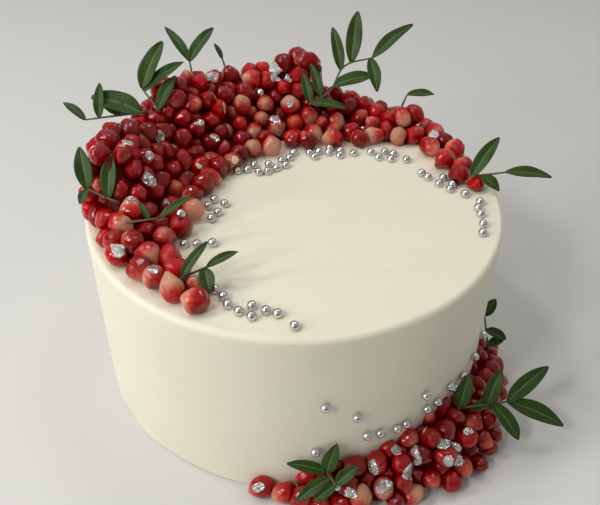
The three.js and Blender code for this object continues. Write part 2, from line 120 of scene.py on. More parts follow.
class Shade:
    """An output of a finish's node, so that its maths reads as Python: 1 - mask, or grain * 0.3 + spots."""

    def __init__(self, tree, socket=None):
        self.tree = tree
        self.socket = socket

    def node(self, kind, settings, sockets, output=0):
        """The output of a new node, with its settings set first, then its sockets' values or links."""
        made = self.tree.nodes.new("ShaderNode" + kind)
        for name, value in settings.items():
            setattr(made, name, value)
        for name, value in sockets.items():
            self.feed(made.inputs[name], value)
        return Shade(self.tree, made.outputs[output])

    def feed(self, socket, value):
        """A link from this finish's node, or a plain value, into a socket."""
        if isinstance(value, Shade):
            self.tree.links.new(value.socket, socket)
        else:
            socket.default_value = value

    def maths(self, operation, *values):
        """The result of a sum, product or other operation on some values."""
        return self.node("Math", {"operation": operation}, dict(enumerate(values)))

    def mixed(self, share, one, other):
        """The colour at some share of the way from one to the other."""
        return self.node("Mix", {"data_type": "RGBA"}, {0: share, 6: one, 7: other}, 2)

    def step(self, low, high):
        """0 under low, 1 over high, and eased between."""
        limits = {"Value": self, "From Min": low, "From Max": high}
        return self.node("MapRange", {"interpolation_type": "SMOOTHSTEP"}, limits)

    def attribute(self, name, output="Fac"):
        """What the mesh stores under a name at each point."""
        return self.node("Attribute", {"attribute_name": name}, {}, output)

    def grain(self, place, scale, detail=2.0, roughness=0.5):
        """Smooth noise from 0 to 1, with some features to the metre."""
        values = {"Vector": place, "Scale": scale, "Detail": detail, "Roughness": roughness}
        return self.node("TexNoise", {}, values)

    def relief(self, height, strength, distance):
        """The normal of a surface raised by height, a number from 0 to 1, over distance in metres."""
        return self.node("Bump", {}, {"Strength": strength, "Distance": distance, "Height": height})

    def __add__(self, other):
        return self.maths("ADD", self, other)

    def __sub__(self, other):
        return self.maths("SUBTRACT", self, other)

    def __rsub__(self, other):
        return self.maths("SUBTRACT", other, self)

    def __mul__(self, other):
        return self.maths("MULTIPLY", self, other)

    __radd__ = __add__
    __rmul__ = __mul__


def new_finish(name, constants):
    """A new material, its shader with the values that are the same all over it, and a start for its nodes."""
    finish = bpy.data.materials.new(name)
    finish.use_nodes = True
    shader = finish.node_tree.nodes["Principled BSDF"]
    for socket, value in constants.items():
        shader.inputs[socket].default_value = value
    return finish, shader, Shade(finish.node_tree)


table_finish, table_shader, start = new_finish("table_top", {"Roughness": 0.6})
mottle = start.grain(start.node("TexCoord", {}, {}, "Object"), MOTTLES)
start.feed(table_shader.inputs["Base Color"], start.mixed(mottle, TABLE_COLOUR, TABLE_MOTTLE))
corners = [(x * TABLE_HALF, y * TABLE_HALF, 0) for x, y in ((-1, -1), (1, -1), (1, 1), (-1, 1))]
shaped("table_top", corners, [(0, 1, 2, 3)], table_finish)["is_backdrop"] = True

for lamp_name, (azimuth, rise, distance, side, watts, colour) in LAMPS.items():
    lamp = bpy.data.lights.new(lamp_name, "AREA")
    lamp.size = side
    lamp.energy = watts
    lamp.color = colour
    holder = bpy.data.objects.new(lamp_name, lamp)
    towards = headed(azimuth, rise)
    holder.location = CAKE_MIDDLE + towards * distance
    holder.rotation_euler = towards.to_track_quat("Z", "Y").to_euler()
    scene.collection.objects.link(holder)

room = bpy.data.worlds.new("room")
room.use_nodes = True
start = Shade(room.node_tree)
looking = start.node("TexCoord", {}, {}, "Generated")
facing = start.node("VectorMath", {"operation": "DOT_PRODUCT"}, {0: looking, 1: ROOM_AWAY}, "Value")
room_light = start.mixed(facing.step(*ROOM_FADE), ROOM_DIM, ROOM_BRIGHT)
start.feed(room.node_tree.nodes["Background"].inputs["Color"], room_light)
scene.world = room
scene.view_settings.view_transform = "Standard"

lens = bpy.data.cameras.new("view")
lens.lens = VIEW_LENS
lens.sensor_width = VIEW_SENSOR
lens.clip_start = 0.01
view = bpy.data.objects.new("view", lens)
tilt = Matrix.Rotation(math.pi / 2 - VIEW_PITCH, 4, "X") @ Matrix.Rotation(VIEW_ROLL, 4, "Z")
view.matrix_world = Matrix.Translation(VIEW_PLACE) @ tilt
scene.collection.objects.link(view)
scene.camera = view


def sight(x, y):
    """The direction from the view through a pixel of the picture."""
    reach = VIEW_LENS / VIEW_SENSOR * PICTURE[0]
    return (tilt.to_3x3() @ Vector((x - PICTURE[0] / 2, PICTURE[1] / 2 - y, -reach))).normalized()


# ---- Cream coat ----
# The cake's whole outside is one coat of smooth ivory cream, pulled level with a long palette knife. It keeps
# the knife's faint sweeps on top, a crisp rim that is a little uneven, a few pinholes, and a bead pushed out
# at the foot. It stands for the solid cake.

CAKE_HEIGHT = 0.0875
TOP_RADIUS = 0.092
FOOT_RADIUS = 0.0929
RIM_ROUND = 0.0022
FOOT_ROUND = 0.0012
CAKE_COLUMNS = 300
UNDER_RINGS = 8
UNDER_REACH = 0.96  # share of the foot's radius out to the last ring under it
FOOT_STEPS = 5
SIDE_ROWS = 54
RIM_STEPS = 9
TOP_RINGS = 60
SIDE_WAVE = 0.00022  # depth of the slow unevenness of the side
SIDE_SWEEP = (1.6, 22)  # how often it changes, round the cake and to the metre up it
SIDE_BANDS = (0.7, 130)  # the same for the knife's level bands
BAND_SHARE = 0.45  # depth of those bands, as a share of the unevenness
BEAD_HEIGHT = 0.0022
BEAD_DEPTH = 0.0011
BEAD_CHANGE = 5
BEAD_FROM = 0.9  # share of the foot's radius inside which there is no bead
TOP_WAVE = 0.00020  # height of the knife's sweeps on top
TOP_SWEEP = (26, 55)  # to the metre, along and across the knife's way
TOP_SLANT = 0.4  # how far that way turns off the X axis
RIM_LIP = 0.00035  # height of the lip that the knife leaves along the rim
LIP_WIDTH = 0.0016
LIP_CHANGE = 4
NOISE_PLACES = {"bands": 7, "bead": 3.3, "sweeps": 1.7, "lip": 9.1}  # where in the noise each begins


def cream_profile():
    """The coat's outline as radius and height, from under its foot up to the middle of its top."""
    points = [(FOOT_RADIUS * share, 0.0) for share in np.linspace(0, UNDER_REACH, UNDER_RINGS)]
    for angle in np.radians(np.linspace(-90, 0, FOOT_STEPS)):
        radius = FOOT_RADIUS + FOOT_ROUND * (math.cos(angle) - 1)
        points.append((radius, FOOT_ROUND * (1 + math.sin(angle))))
    for share in np.linspace(0, 1, SIDE_ROWS)[1:-1]:
        radius = FOOT_RADIUS + (TOP_RADIUS - FOOT_RADIUS) * share
        points.append((radius, FOOT_ROUND + share * (CAKE_HEIGHT - FOOT_ROUND - RIM_ROUND)))
    for angle in np.radians(np.linspace(0, 90, RIM_STEPS)):
        radius = TOP_RADIUS + RIM_ROUND * (math.cos(angle) - 1)
        points.append((radius, CAKE_HEIGHT + RIM_ROUND * (math.sin(angle) - 1)))
    for share in np.linspace(0, 1, TOP_RINGS)[1:]:
        points.append(((TOP_RADIUS - RIM_ROUND) * (1 - share), CAKE_HEIGHT))
    return points


def unevenness(turn, change, height):
    """Smooth noise round the cake, about -1 to 1, from the direction out of its axis and a height."""
    return noise.noise(Vector((turn.x * change, turn.y * change, height)))


def cream_point(radius, height, azimuth):
    """A point of the coat, moved by the knife's marks."""
    turn = Vector((math.cos(azimuth), math.sin(azimuth)))
    on_top = max(0.0, min(1.0, (height - CAKE_HEIGHT + RIM_ROUND) / RIM_ROUND))
    sweep = unevenness(turn, SIDE_SWEEP[0], height * SIDE_SWEEP[1])
    band = unevenness(turn, SIDE_BANDS[0], height * SIDE_BANDS[1] + NOISE_PLACES["bands"])
    out = SIDE_WAVE * (sweep + BAND_SHARE * band) * (1 - on_top)
    if radius > BEAD_FROM * FOOT_RADIUS:
        pushed_out = max(0.0, unevenness(turn, BEAD_CHANGE, NOISE_PLACES["bead"]))
        bead = math.exp(-((height / BEAD_HEIGHT) ** 2)) * pushed_out
        out += BEAD_DEPTH * bead
    rise = 0.0
    if on_top > 0:
        x, y = turn.x * radius, turn.y * radius
        along, across = (x + TOP_SLANT * y) * TOP_SWEEP[0], y * TOP_SWEEP[1]
        rise = TOP_WAVE * noise.noise(Vector((along, across, NOISE_PLACES["sweeps"])))
        lip = math.exp(-(((TOP_RADIUS - RIM_ROUND - radius) / LIP_WIDTH) ** 2))
        rise += RIM_LIP * lip * (0.5 + unevenness(turn, LIP_CHANGE, NOISE_PLACES["lip"]))
    return ((radius + out) * turn.x, (radius + out) * turn.y, height + rise * on_top)


profile = cream_profile()
points = []
for radius, height in profile[1:-1]:
    for azimuth in np.linspace(0, 2 * math.pi, CAKE_COLUMNS, endpoint=False):
        points.append(cream_point(radius, height, azimuth))
rows = len(profile) - 2
faces = []
for row in range(rows - 1):
    for column in range(CAKE_COLUMNS):
        onward = (column + 1) % CAKE_COLUMNS
        a, b = row * CAKE_COLUMNS + column, row * CAKE_COLUMNS + onward
        faces.append((a, b, b + CAKE_COLUMNS, a + CAKE_COLUMNS))
for row, middle in ((0, (0, 0, 0)), (rows - 1, cream_point(0, CAKE_HEIGHT, 0))):
    points.append(middle)
    for column in range(CAKE_COLUMNS):
        a, b = row * CAKE_COLUMNS + column, row * CAKE_COLUMNS + (column + 1) % CAKE_COLUMNS
        faces.append((len(points) - 1, b, a) if row == 0 else (len(points) - 1, a, b))

CREAM_CONSTANTS = {
    "Subsurface Weight": 0.25,
    "Subsurface Radius": (1.0, 0.8, 0.55),
    "Subsurface Scale": 0.004,
    "IOR": 1.42,
}
cream, cream_shader, start = new_finish("ivory_cream", CREAM_CONSTANTS)
place = start.node("TexCoord", {}, {}, "Object")
stretched = start.node("Mapping", {}, {"Vector": place, "Scale": (1.0, 2.2, 3.0)})
clouds = start.grain(stretched, 16.0, 3.0)
fine = start.grain(place, 900.0, 3.0)
pits = start.node("TexVoronoi", {"feature": "F1"}, {"Vector": place, "Scale": 90.0}, "Distance")
# The pinholes are pits in the bump. Their colour, half way to a dark cream, is painted shade in them.
pinhole_pits_and_shade = 1 - pits.step(0.02, 0.05)
tint = start.mixed(clouds, colour_of(0.755, 0.732, 0.590), colour_of(0.81, 0.790, 0.650))
start.feed(cream_shader.inputs["Base Color"], start.mixed(pinhole_pits_and_shade * 0.5, tint, colour_of(0.45, 0.42, 0.33)))
start.feed(cream_shader.inputs["Roughness"], clouds * 0.18 + 0.42)
start.feed(cream_shader.inputs["Normal"], start.relief(clouds + fine * 0.12 - pinhole_pits_and_shade * 0.5, 0.35, 0.0008))

coat = shaped("cream_coat", points, faces, cream)
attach(coat, "root")
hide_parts("cake")


# ---- Sugar pearls ----
# Silver-coated sugar pearls 4 mm across, dropped by hand along the crescent's inner edge and pressed into the
# side above the heap at the foot. They stand for the pearls that the solid cake carries.

PEARL_RADIUS = 0.002
PEARL_SINK = 0.0008
PEARL_SPACING = 0.0041
PEARL_TRIES = 40
PEARL_DRAWS = 11
PEARL_SIDES = 22
PEARL_RINGS = 12
# Each trail: azimuth from and to, radius from and to, how far its pearls stray from the line, and how many.
TOP_PEARL_TRAILS = [
    ((338, 358), (0.084, 0.08), 0.0025, 5),
    ((359, 377), (0.076, 0.062), 0.0035, 7),
    ((387, 406), (0.061, 0.05), 0.0045, 6),
    ((410, 441), (0.045, 0.033), 0.0045, 8),
    ((447, 480), (0.031, 0.022), 0.005, 6),
    ((484, 508), (0.025, 0.031), 0.0045, 5),
    ((547, 574), (0.032, 0.04), 0.0045, 5),
    ((580, 589), (0.061, 0.051), 0.002, 3),
    ((605, 631), (0.074, 0.084), 0.004, 9),
]
SIDE_PEARLS = [
    (276, 0.026), (278, 0.053), (286, 0.044), (289, 0.031), (292.6, 0.030), (297.5, 0.0286), (300.3, 0.029),
    (305.7, 0.041), (307, 0.031), (311, 0.0306), (316, 0.034), (319, 0.0286), (323, 0.031), (330, 0.033),
    (338, 0.035),
]


def polar(azimuth, radius, height):
    """A place at some azimuth, distance from the cake's axis and height."""
    azimuth = math.radians(azimuth)
    return Vector((math.cos(azimuth) * radius, math.sin(azimuth) * radius, height))


def draws_from(start_number):
    """The same draws between 0 and 1 every time, from one whole number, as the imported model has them."""
    word = 0xFFFFFFFF
    state = start_number
    while True:
        state = (state + 0x6D2B79F5) & word
        mixed = ((state ^ (state >> 15)) * (1 | state)) & word
        mixed ^= (mixed + ((mixed ^ (mixed >> 7)) * (61 | mixed))) & word
        yield ((mixed ^ (mixed >> 14)) & word) / (word + 1)


def lay_pearls():
    """The pearls' middles, first those on top and then those on the side."""
    draws = draws_from(PEARL_DRAWS)
    laid = []
    for azimuths, radii, stray, count in TOP_PEARL_TRAILS:
        placed = 0
        for _ in range(PEARL_TRIES * count):
            if placed == count:
                break
            share = (placed + next(draws)) / count
            azimuth = azimuths[0] + (azimuths[1] - azimuths[0]) * share
            radius = radii[0] + (radii[1] - radii[0]) * share + (2 * next(draws) - 1) * stray
            middle = polar(azimuth, radius, CAKE_HEIGHT + PEARL_RADIUS - PEARL_SINK)
            if all((middle - other).length >= PEARL_SPACING for other in laid):
                laid.append(middle)
                placed += 1
    for azimuth, height in SIDE_PEARLS:
        side = FOOT_RADIUS + (TOP_RADIUS - FOOT_RADIUS) * height / CAKE_HEIGHT
        laid.append(polar(azimuth, side + PEARL_RADIUS - PEARL_SINK, height))
    return laid


def pearl_mesh(middles):
    """Round pearls at some middles, as points and faces."""
    points, faces = [], []
    for middle in middles:
        first = len(points)
        points.append(middle + Vector((0, 0, -PEARL_RADIUS)))
        for ring in range(1, PEARL_RINGS):
            rise = -90 + 180 * ring / PEARL_RINGS
            for side in range(PEARL_SIDES):
                points.append(middle + headed(360 * side / PEARL_SIDES, rise) * PEARL_RADIUS)
        points.append(middle + Vector((0, 0, PEARL_RADIUS)))
        last = len(points) - 1
        for side in range(PEARL_SIDES):
            onward = (side + 1) % PEARL_SIDES
            faces.append((first, first + 1 + onward, first + 1 + side))
            faces.append((last, last - PEARL_SIDES + side, last - PEARL_SIDES + onward))
            for ring in range(PEARL_RINGS - 2):
                low = first + 1 + ring * PEARL_SIDES
                faces.append((low + side, low + onward, low + onward + PEARL_SIDES, low + side + PEARL_SIDES))
    return points, faces


silver_sugar, silver_shader, start = new_finish("silver_sugar", {"Metallic": 1.0})
place = start.node("TexCoord", {}, {}, "Object")
worn = start.grain(place, 700.0, 2.0)
silver_tint = start.mixed(worn, colour_of(0.53, 0.53, 0.53), colour_of(0.76, 0.76, 0.75))
start.feed(silver_shader.inputs["Base Color"], silver_tint)
start.feed(silver_shader.inputs["Roughness"], worn * 0.14 + 0.18)
start.feed(silver_shader.inputs["Normal"], start.relief(start.grain(place, 1500.0), 0.25, 0.0002))

pearl_middles = lay_pearls()
pearls = shaped("sugar_pearls", *pearl_mesh(pearl_middles), silver_sugar)
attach(pearls, "root")
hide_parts("cake")


# ---- Sprigs ----
# Short sprigs of a glossy evergreen, tucked in among the seeds. Each is a thin woody stem with narrow leaves
# that arch along their length and fold a little along a paler midrib. One joined piece stands for each sprig.

STEM_RADIUS = 0.00055
STEM_SIDES = 8
STEM_STEPS = 6  # for each run of a stem
STEM_TAPER = (1.15, 0.70)  # share of its radius at its foot and at its tip
STEM_CLEAR = 0.0009  # room that the seeds leave round a stem
LEAF_CLEAR = 0.0006
LEAF_THICKNESS = 0.0004
LEAF_ARCH = 26  # degrees that a leaf turns down along its length
LEAF_FOLD = 0.16  # how far its edges fold up, as a share of its width
FOLD_CURVE = 1.25
LEAF_RIPPLE = 0.05  # depth of its edges' waves, as a share of its width
RIPPLES = 9  # radians of wave along it
GROOVE = 0.00012  # depth of the groove along its midrib
EDGE_THINNING = 0.6
FOOT_FULLNESS = 1.1  # share of its thickness at its foot, less towards its tip
LEAF_SHAPE = (0.85, 0.62)  # where a leaf is widest, and how full its sides are
LEAF_END = 0.015  # share of its length where it is cut off blunt, at both ends
LEAF_LIGHT = Vector((0, -0.5, 0.87))  # leaves turn their upper faces up and to the front
LEAF_ROWS = 16
LEAF_COLUMNS = 10  # across both halves
UPPER_POINTS = (LEAF_ROWS + 1) * (LEAF_COLUMNS + 1)  # of a leaf's upper face
RIB_WIDTH = 0.16  # share of a leaf's half width
# Each sprig: the root of its stem, the stem as runs of (heading, rise, length), and its leaves as (place
# along the stem from 0 to 1, heading, rise, length, width).
SPRIGS = {
    "sprig_left_back": ((-0.068, 0.027, 0.1135), [(190, -4, 0.028)], [
        (0.1, 170, 13, 0.024, 0.0105), (0.4, 150, 24, 0.015, 0.008), (0.78, 90, 50, 0.016, 0.005),
        (1, 154, 27, 0.013, 0.004),
    ]),
    "sprig_left": ((-0.071, -0.029, 0.1015), [(165, 18, 0.014)], [
        (0.35, 84, 52, 0.018, 0.0065), (1, 109, 50, 0.0175, 0.007), (1, 235, -42, 0.007, 0.004),
    ]),
    "sprig_left_crest": ((-0.063, 0.03, 0.112), [(138, 33, 0.014)], [
        (1, 56, 46, 0.024, 0.0085), (0.1, 57, 40, 0.018, 0.006), (0.9, 24, 28, 0.023, 0.006),
    ]),
    "sprig_far_back": ((-0.0525, 0.068, 0.1085), [(112, 62, 0.011)], [
        (1, 142, 40, 0.021, 0.005), (1, 44, 38, 0.021, 0.0065),
    ]),
    "twig_far_back": ((-0.0365, 0.075, 0.1125), [(120, 50, 0.006)], [(1, 132, 44, 0.009, 0.0026)]),
    "sprig_back": ((0.006, 0.055, 0.104), [(28, 22, 0.013), (48, 44, 0.014), (14, 12, 0.015)], [
        (0.02, 112, 48, 0.016, 0.005), (0.03, 356, -6, 0.018, 0.005), (0.18, 116, 46, 0.018, 0.005),
        (0.4, 6, 13, 0.021, 0.0075), (0.6, 108, 49, 0.022, 0.006), (0.76, 80, 51, 0.026, 0.008),
        (0.97, 285, -42, 0.018, 0.0065), (1, 27, 31, 0.026, 0.0065),
    ]),
    "sprig_back_right": ((0.0535, 0.065, 0.098), [(40, 60, 0.007)], [(1, 0, 1, 0.014, 0.0045)]),
    "sprig_right": ((0.079, 0.007, 0.0935), [(2, 8, 0.016)], [
        (0.05, 40, 43, 0.0215, 0.0065), (0.3, 327, -26, 0.011, 0.0055), (1, 356, -4, 0.021, 0.0055),
    ]),
    "sprig_left_front": ((-0.066, -0.041, 0.1005), [(8, 5, 0.013)], [
        (0.7, 133, 42, 0.008, 0.0026), (1, 22, 25, 0.017, 0.0032),
    ]),
    "sprig_front_left": ((-0.042, -0.066, 0.0935), [(22, 14, 0.011)], [
        (0.05, 42, 39, 0.017, 0.004), (1, 18, 20, 0.013, 0.0036), (0.9, 288, -34, 0.01, 0.006),
    ]),
    "sprig_foot_right": ((0.072, -0.067, 0.022), [(14, -5, 0.024)], [
        (0.03, 66, 56, 0.016, 0.007), (0.58, 56, 54, 0.017, 0.007), (1, 29, 31, 0.024, 0.0075),
        (1, 345, -17, 0.027, 0.008), (0.7, 321, -40, 0.02, 0.007), (0.75, 190, -6, 0.012, 0.0048),
    ]),
    "sprig_foot_far_right": ((0.095, -0.025, 0.014), [(100, 50, 0.017)], [
        (0.15, 15, 18, 0.009, 0.0046), (0.6, 344, -19, 0.011, 0.0052), (1, 44, 41, 0.01, 0.0056),
    ]),
    "sprig_foot_front": ((0.0185, -0.101, 0.0145), [(130, 22, 0.0065)], [
        (1, 48, 66, 0.0145, 0.0065), (1, 176, 14, 0.017, 0.005), (0.1, 24, 34, 0.0125, 0.0054),
        (0.6, 205, -24, 0.017, 0.0054), (0.1, 208, -26, 0.011, 0.005),
    ]),
}


def stem_route(root, runs):
    """Joints of a stem, with points on a smooth curve through them."""
    joints = [Vector(root)]
    for heading, rise, length in runs:
        joints.append(joints[-1] + headed(heading, rise) * length)
    ends = [2 * joints[0] - joints[1], *joints, 2 * joints[-1] - joints[-2]]
    route = []
    for share in np.linspace(0, len(runs), len(runs) * STEM_STEPS + 1):
        i = min(int(share), len(runs) - 1)
        t = share - i
        before, here, onward, after = ends[i:i + 4]
        bend = 2 * before - 5 * here + 4 * onward - after
        twist = 3 * (here - onward) + after - before
        route.append(0.5 * (2 * here + (onward - before) * t + bend * t ** 2 + twist * t ** 3))
    return route


def add_stem(body, route):
    """A tapering tube along a route, closed at both ends, for the mesh being gathered in body."""
    points, faces, marks = body
    first = len(points)
    for i, middle in enumerate(route):
        along = (route[min(i + 1, len(route) - 1)] - route[max(i - 1, 0)]).normalized()
        side = along.cross(Vector((0.3, 0.2, 1))).normalized()
        foot_share, tip_share = STEM_TAPER
        radius = STEM_RADIUS * (foot_share + (tip_share - foot_share) * i / (len(route) - 1))
        for turn in np.linspace(0, 2 * math.pi, STEM_SIDES, endpoint=False):
            points.append(middle + (side * math.cos(turn) + along.cross(side) * math.sin(turn)) * radius)
            marks.append((0.0, i / (len(route) - 1)))
    for i in range(len(route) - 1):
        for side in range(STEM_SIDES):
            a, b = first + i * STEM_SIDES + side, first + i * STEM_SIDES + (side + 1) % STEM_SIDES
            faces.append((a, b, b + STEM_SIDES, a + STEM_SIDES))
    last = first + (len(route) - 1) * STEM_SIDES
    faces.append(tuple(first + side for side in reversed(range(STEM_SIDES))))
    faces.append(tuple(last + side for side in range(STEM_SIDES)))


def leaf_width(share):
    """Half width of a leaf at some share of its length, as a share of its greatest."""
    widest, fullness = LEAF_SHAPE
    return math.sin(math.pi * share ** widest) ** fullness


def add_leaf(body, foot, heading, rise, length, width, wave):
    """A thin leaf with two faces and a rim, for the mesh being gathered in body."""
    points, faces, marks = body
    along = headed(heading, rise)
    side = along.cross(LEAF_LIGHT).normalized()
    out = side.cross(along).normalized()
    spine = [foot]
    for row in range(LEAF_ROWS):
        turn = LEAF_ARCH * (0.5 - (row + 0.5) / LEAF_ROWS)
        spine.append(spine[-1] + headed(heading, rise + turn) * (length / LEAF_ROWS))
    columns = np.linspace(-1, 1, LEAF_COLUMNS + 1)
    first = len(points)
    for lift in (LEAF_THICKNESS / 2, -LEAF_THICKNESS / 2):
        for row, middle in enumerate(spine):
            share = row / LEAF_ROWS
            half = 0.5 * width * leaf_width(min(max(share, LEAF_END), 1 - LEAF_END))
            for column in columns:
                fold = 2 * LEAF_FOLD * half * abs(column) ** FOLD_CURVE
                waving = math.sin(RIPPLES * share + wave + 2 * column) * abs(column)
                groove = GROOVE * math.exp(-((column / RIB_WIDTH) ** 2))
                thin = lift * (1 - EDGE_THINNING * abs(column)) * (FOOT_FULLNESS - share)
                raised = thin + fold + LEAF_RIPPLE * width * waving - groove
                points.append(middle + side * (half * column) + out * raised)
                marks.append((column, share))
    count = len(columns)
    under = count * len(spine)
    for row in range(LEAF_ROWS):
        for column in range(LEAF_COLUMNS):
            a = first + row * count + column
            faces.append((a, a + 1, a + count + 1, a + count))
            faces.append((a + under, a + under + count, a + under + count + 1, a + under + 1))
    rim = [first + column for column in range(count)]
    rim += [first + row * count + LEAF_COLUMNS for row in range(1, len(spine))]
    rim += [first + LEAF_ROWS * count + column for column in reversed(range(LEAF_COLUMNS))]
    rim += [first + row * count for row in reversed(range(1, LEAF_ROWS))]
    for here, onward in zip(rim, rim[1:] + rim[:1]):
        faces.append((here, here + under, onward + under, onward))


leaf_green, leaf_shader, start = new_finish("evergreen_leaf", {"Specular IOR Level": 0.28})
across, along = start.attribute("across"), start.attribute("along")
place = start.node("TexCoord", {}, {}, "Object")
half_across = start.maths("ABSOLUTE", across)
rib = 1 - half_across.step(0.03, RIB_WIDTH)
veins = start.maths("SINE", (along - half_across * 0.35) * 88).step(0.55, 1.0) * (1 - rib) * 0.5
mottled = start.grain(place, 260.0, 3.0)
blade = start.mixed(mottled, colour_of(0.010, 0.031, 0.002), colour_of(0.036, 0.082, 0.006))
blade = start.mixed(veins * 0.45, blade, colour_of(0.060, 0.115, 0.035))
start.feed(leaf_shader.inputs["Base Color"], start.mixed(rib * 0.55, blade, colour_of(0.135, 0.200, 0.070)))
start.feed(leaf_shader.inputs["Roughness"], mottled * 0.15 + 0.36)
start.feed(leaf_shader.inputs["Normal"], start.relief(mottled * 0.3 - veins * 0.5 - rib * 0.8, 0.5, 0.0003))

stem_brown, stem_shader, start = new_finish("young_stem", {"Roughness": 0.55})
bark = start.grain(start.node("TexCoord", {}, {}, "Object"), 900.0, 2.0)
stem_tint = start.mixed(bark, colour_of(0.045, 0.040, 0.018), colour_of(0.135, 0.105, 0.045))
start.feed(stem_shader.inputs["Base Color"], stem_tint)
start.feed(stem_shader.inputs["Normal"], start.relief(bark, 0.4, 0.0002))

leaf_rng = np.random.default_rng(23)
sprig_points = []  # along every stem and leaf, for the seeds to keep clear of
for sprig_name, (root, runs, leaves) in SPRIGS.items():
    route = stem_route(root, runs)
    stem_body, leaf_body = ([], [], []), ([], [], [])
    add_stem(stem_body, route)
    sprig_points += [(point, STEM_CLEAR) for point in route]
    for share, heading, rise, length, width in leaves:
        spot = share * (len(route) - 1)
        i = min(int(spot), len(route) - 2)
        foot = route[i].lerp(route[i + 1], spot - i)
        first = len(leaf_body[0])
        add_leaf(leaf_body, foot, heading, rise, length, width, leaf_rng.uniform(0, 6.28))
        sprig_points += [(point, LEAF_CLEAR) for point in leaf_body[0][first:first + UPPER_POINTS:2]]
    shift = len(stem_body[0])
    body_points = stem_body[0] + leaf_body[0]
    body_faces = stem_body[1] + [tuple(corner + shift for corner in face) for face in leaf_body[1]]
    sprig = shaped("leaves_" + sprig_name, body_points, body_faces, stem_brown, leaf_green)
    for i, attribute_name in enumerate(("across", "along")):
        layer = sprig.data.attributes.new(attribute_name, "FLOAT", "POINT")
        layer.data.foreach_set("value", [mark[i] for mark in stem_body[2] + leaf_body[2]])
    worn_by = [0] * len(stem_body[1]) + [1] * len(leaf_body[1])
    sprig.data.polygons.foreach_set("material_index", worn_by)
    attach(sprig, "root")
    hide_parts(sprig_name)


# ---- Pomegranate seeds ----
# Two heaps of fresh pomegranate seeds. Each seed is a wet ruby sac, blunt where it faced the rind and drawn
# to a pale point where it was attached, with flat sides where it was packed against its neighbours. They are
# heaped by hand: packed tight in the mounds, and lying loose at the edges.

GAP = 0.0003  # between a heap and what it lies on
LAYER = 0.007  # depth of one layer of seeds
PAINTED_SHADE_AT_MIDDLE = 0.35  # how much painted shade the depth of the heap gives an outer seed's middle
FIBRE_STRETCH = (1, 1, 0.22)  # what a seed's own axes count for in its streaks
SEED_LIFT = 0.0001  # between the seeds and the cake's top
SEED_LENGTH = 0.0118
SEED_WIDTH = 0.0100
LEAST_REACH = 0.0018  # from a seed's middle to any plane that cuts it back
LEAST_SIDE_REACH = 0.0015  # the same to the cake's side
LOWEST_MIDDLE = 0.40 * SEED_WIDTH  # least height of a seed's middle over what it lies on
SEED_CLEAR = 0.0024  # least distance from a seed's middle to a sprig or pearl
TAIL_CLEAR = 5  # degrees at a heap's ends where only marked seeds lie
PALE_MOST = 0.62  # how far up a seed the pale colour may reach
SEED_SIZES = (0.86, 1.12)
SEED_WIDTHS = (1.0, 1.14)
SEED_LENGTHS = (0.92, 1.12)
SEED_DEPTHS = (0.84, 1.0)  # a seed's thickness, as a share of its width
BLUNT_GIRTH = 0.10  # how much wider a seed is at its blunt end
POINT_GIRTH = 0.40  # how much narrower at its pale end
FACETS = (5, 6)  # fewest and most flat sides round a seed
FACET_REACH = (0.70, 0.88)
FACET_STRAY = 0.25  # share of the turn from one flat side to the next
FACET_LEANS = (-0.1, 0.30)
END_FACETS = 3
END_REACH = (0.74, 0.90)
END_TILT = (0.62, 0.78)
END_STRAY = 0.3
FACET_SHARPNESS = 20
LYING_LEANS = (60, 115)  # degrees between a lying seed and straight out of the heap
LYING_PALE = (0.0, 0.45)
LYING_ROOM = 0.1  # how much more room a lying seed takes
TIP_STRAY = 35  # degrees that a seed strays whose pale end is outwards
TIP_PALE = (0.05, 0.32)
BLUNT_STRAY = 20
BLUNT_PALE = (0.0, 0.3)
MARKED_SIZE = 1.04
MARKED_SPACING = 0.0055
MARKED_SINK = 0.45 * SEED_WIDTH  # from the form down to a marked seed's middle
FORM_STEP = 0.5  # degrees between the places where marked seeds may lie
FORM_COLUMNS = 41
HIDDEN = 0.02  # metres that a place on the far side counts as missed by
FAR_SIDE = 0.1  # how far a place faces along the sight line where it is on the far side
TOUCH = 0.00005  # half the gap that is left between two seeds
NEIGHBOURS = 1.4 * SEED_LENGTH  # how far off other seeds cut a seed back
SPRIG_REACH = 0.0065  # how far off sprigs and pearls do
# The layers of each heap, the outermost first: tries, least distance between seeds, and depth.
TOP_LAYERS = [(9000, 0.0069, 0.0), (5000, 0.0066, 0.0035), (4000, 0.0070, 0.0070)]
FOOT_LAYERS = [(4000, 0.0069, 0.0), (2000, 0.0066, 0.0035)]
INNER_SEEDS = 0.0033  # from the crescent's inner edge out to where its form begins
CREST_PLACE = 0.68  # share of the crescent's breadth out to its crest
CREST_CLIMB = (0.12, 0.95)  # where the climb to the crest begins and ends
# The crescent's stations: azimuth, inner and outer radius, and height of its crest.
TOP_STATIONS = [
    (0, 0.0785, 0.088, 0.007), (14, 0.07, 0.088, 0.009), (34, 0.071, 0.09, 0.01), (45, 0.058, 0.092, 0.015),
    (57, 0.049, 0.092, 0.013), (71, 0.043, 0.092, 0.016), (79, 0.039, 0.092, 0.018),
    (82.5, 0.038, 0.092, 0.035), (89, 0.037, 0.092, 0.038), (97, 0.036, 0.092, 0.034),
    (108, 0.034, 0.093, 0.03), (121, 0.031, 0.093, 0.031), (133, 0.033, 0.093, 0.034),
    (145, 0.032, 0.093, 0.037), (153, 0.032, 0.093, 0.027), (161, 0.033, 0.094, 0.026),
    (179, 0.038, 0.095, 0.034), (192, 0.041, 0.093, 0.037), (203, 0.044, 0.09, 0.017),
    (217, 0.055, 0.09, 0.012), (228, 0.067, 0.0885, 0.01), (238, 0.074, 0.088, 0.009),
    (250, 0.077, 0.086, 0.007),
]
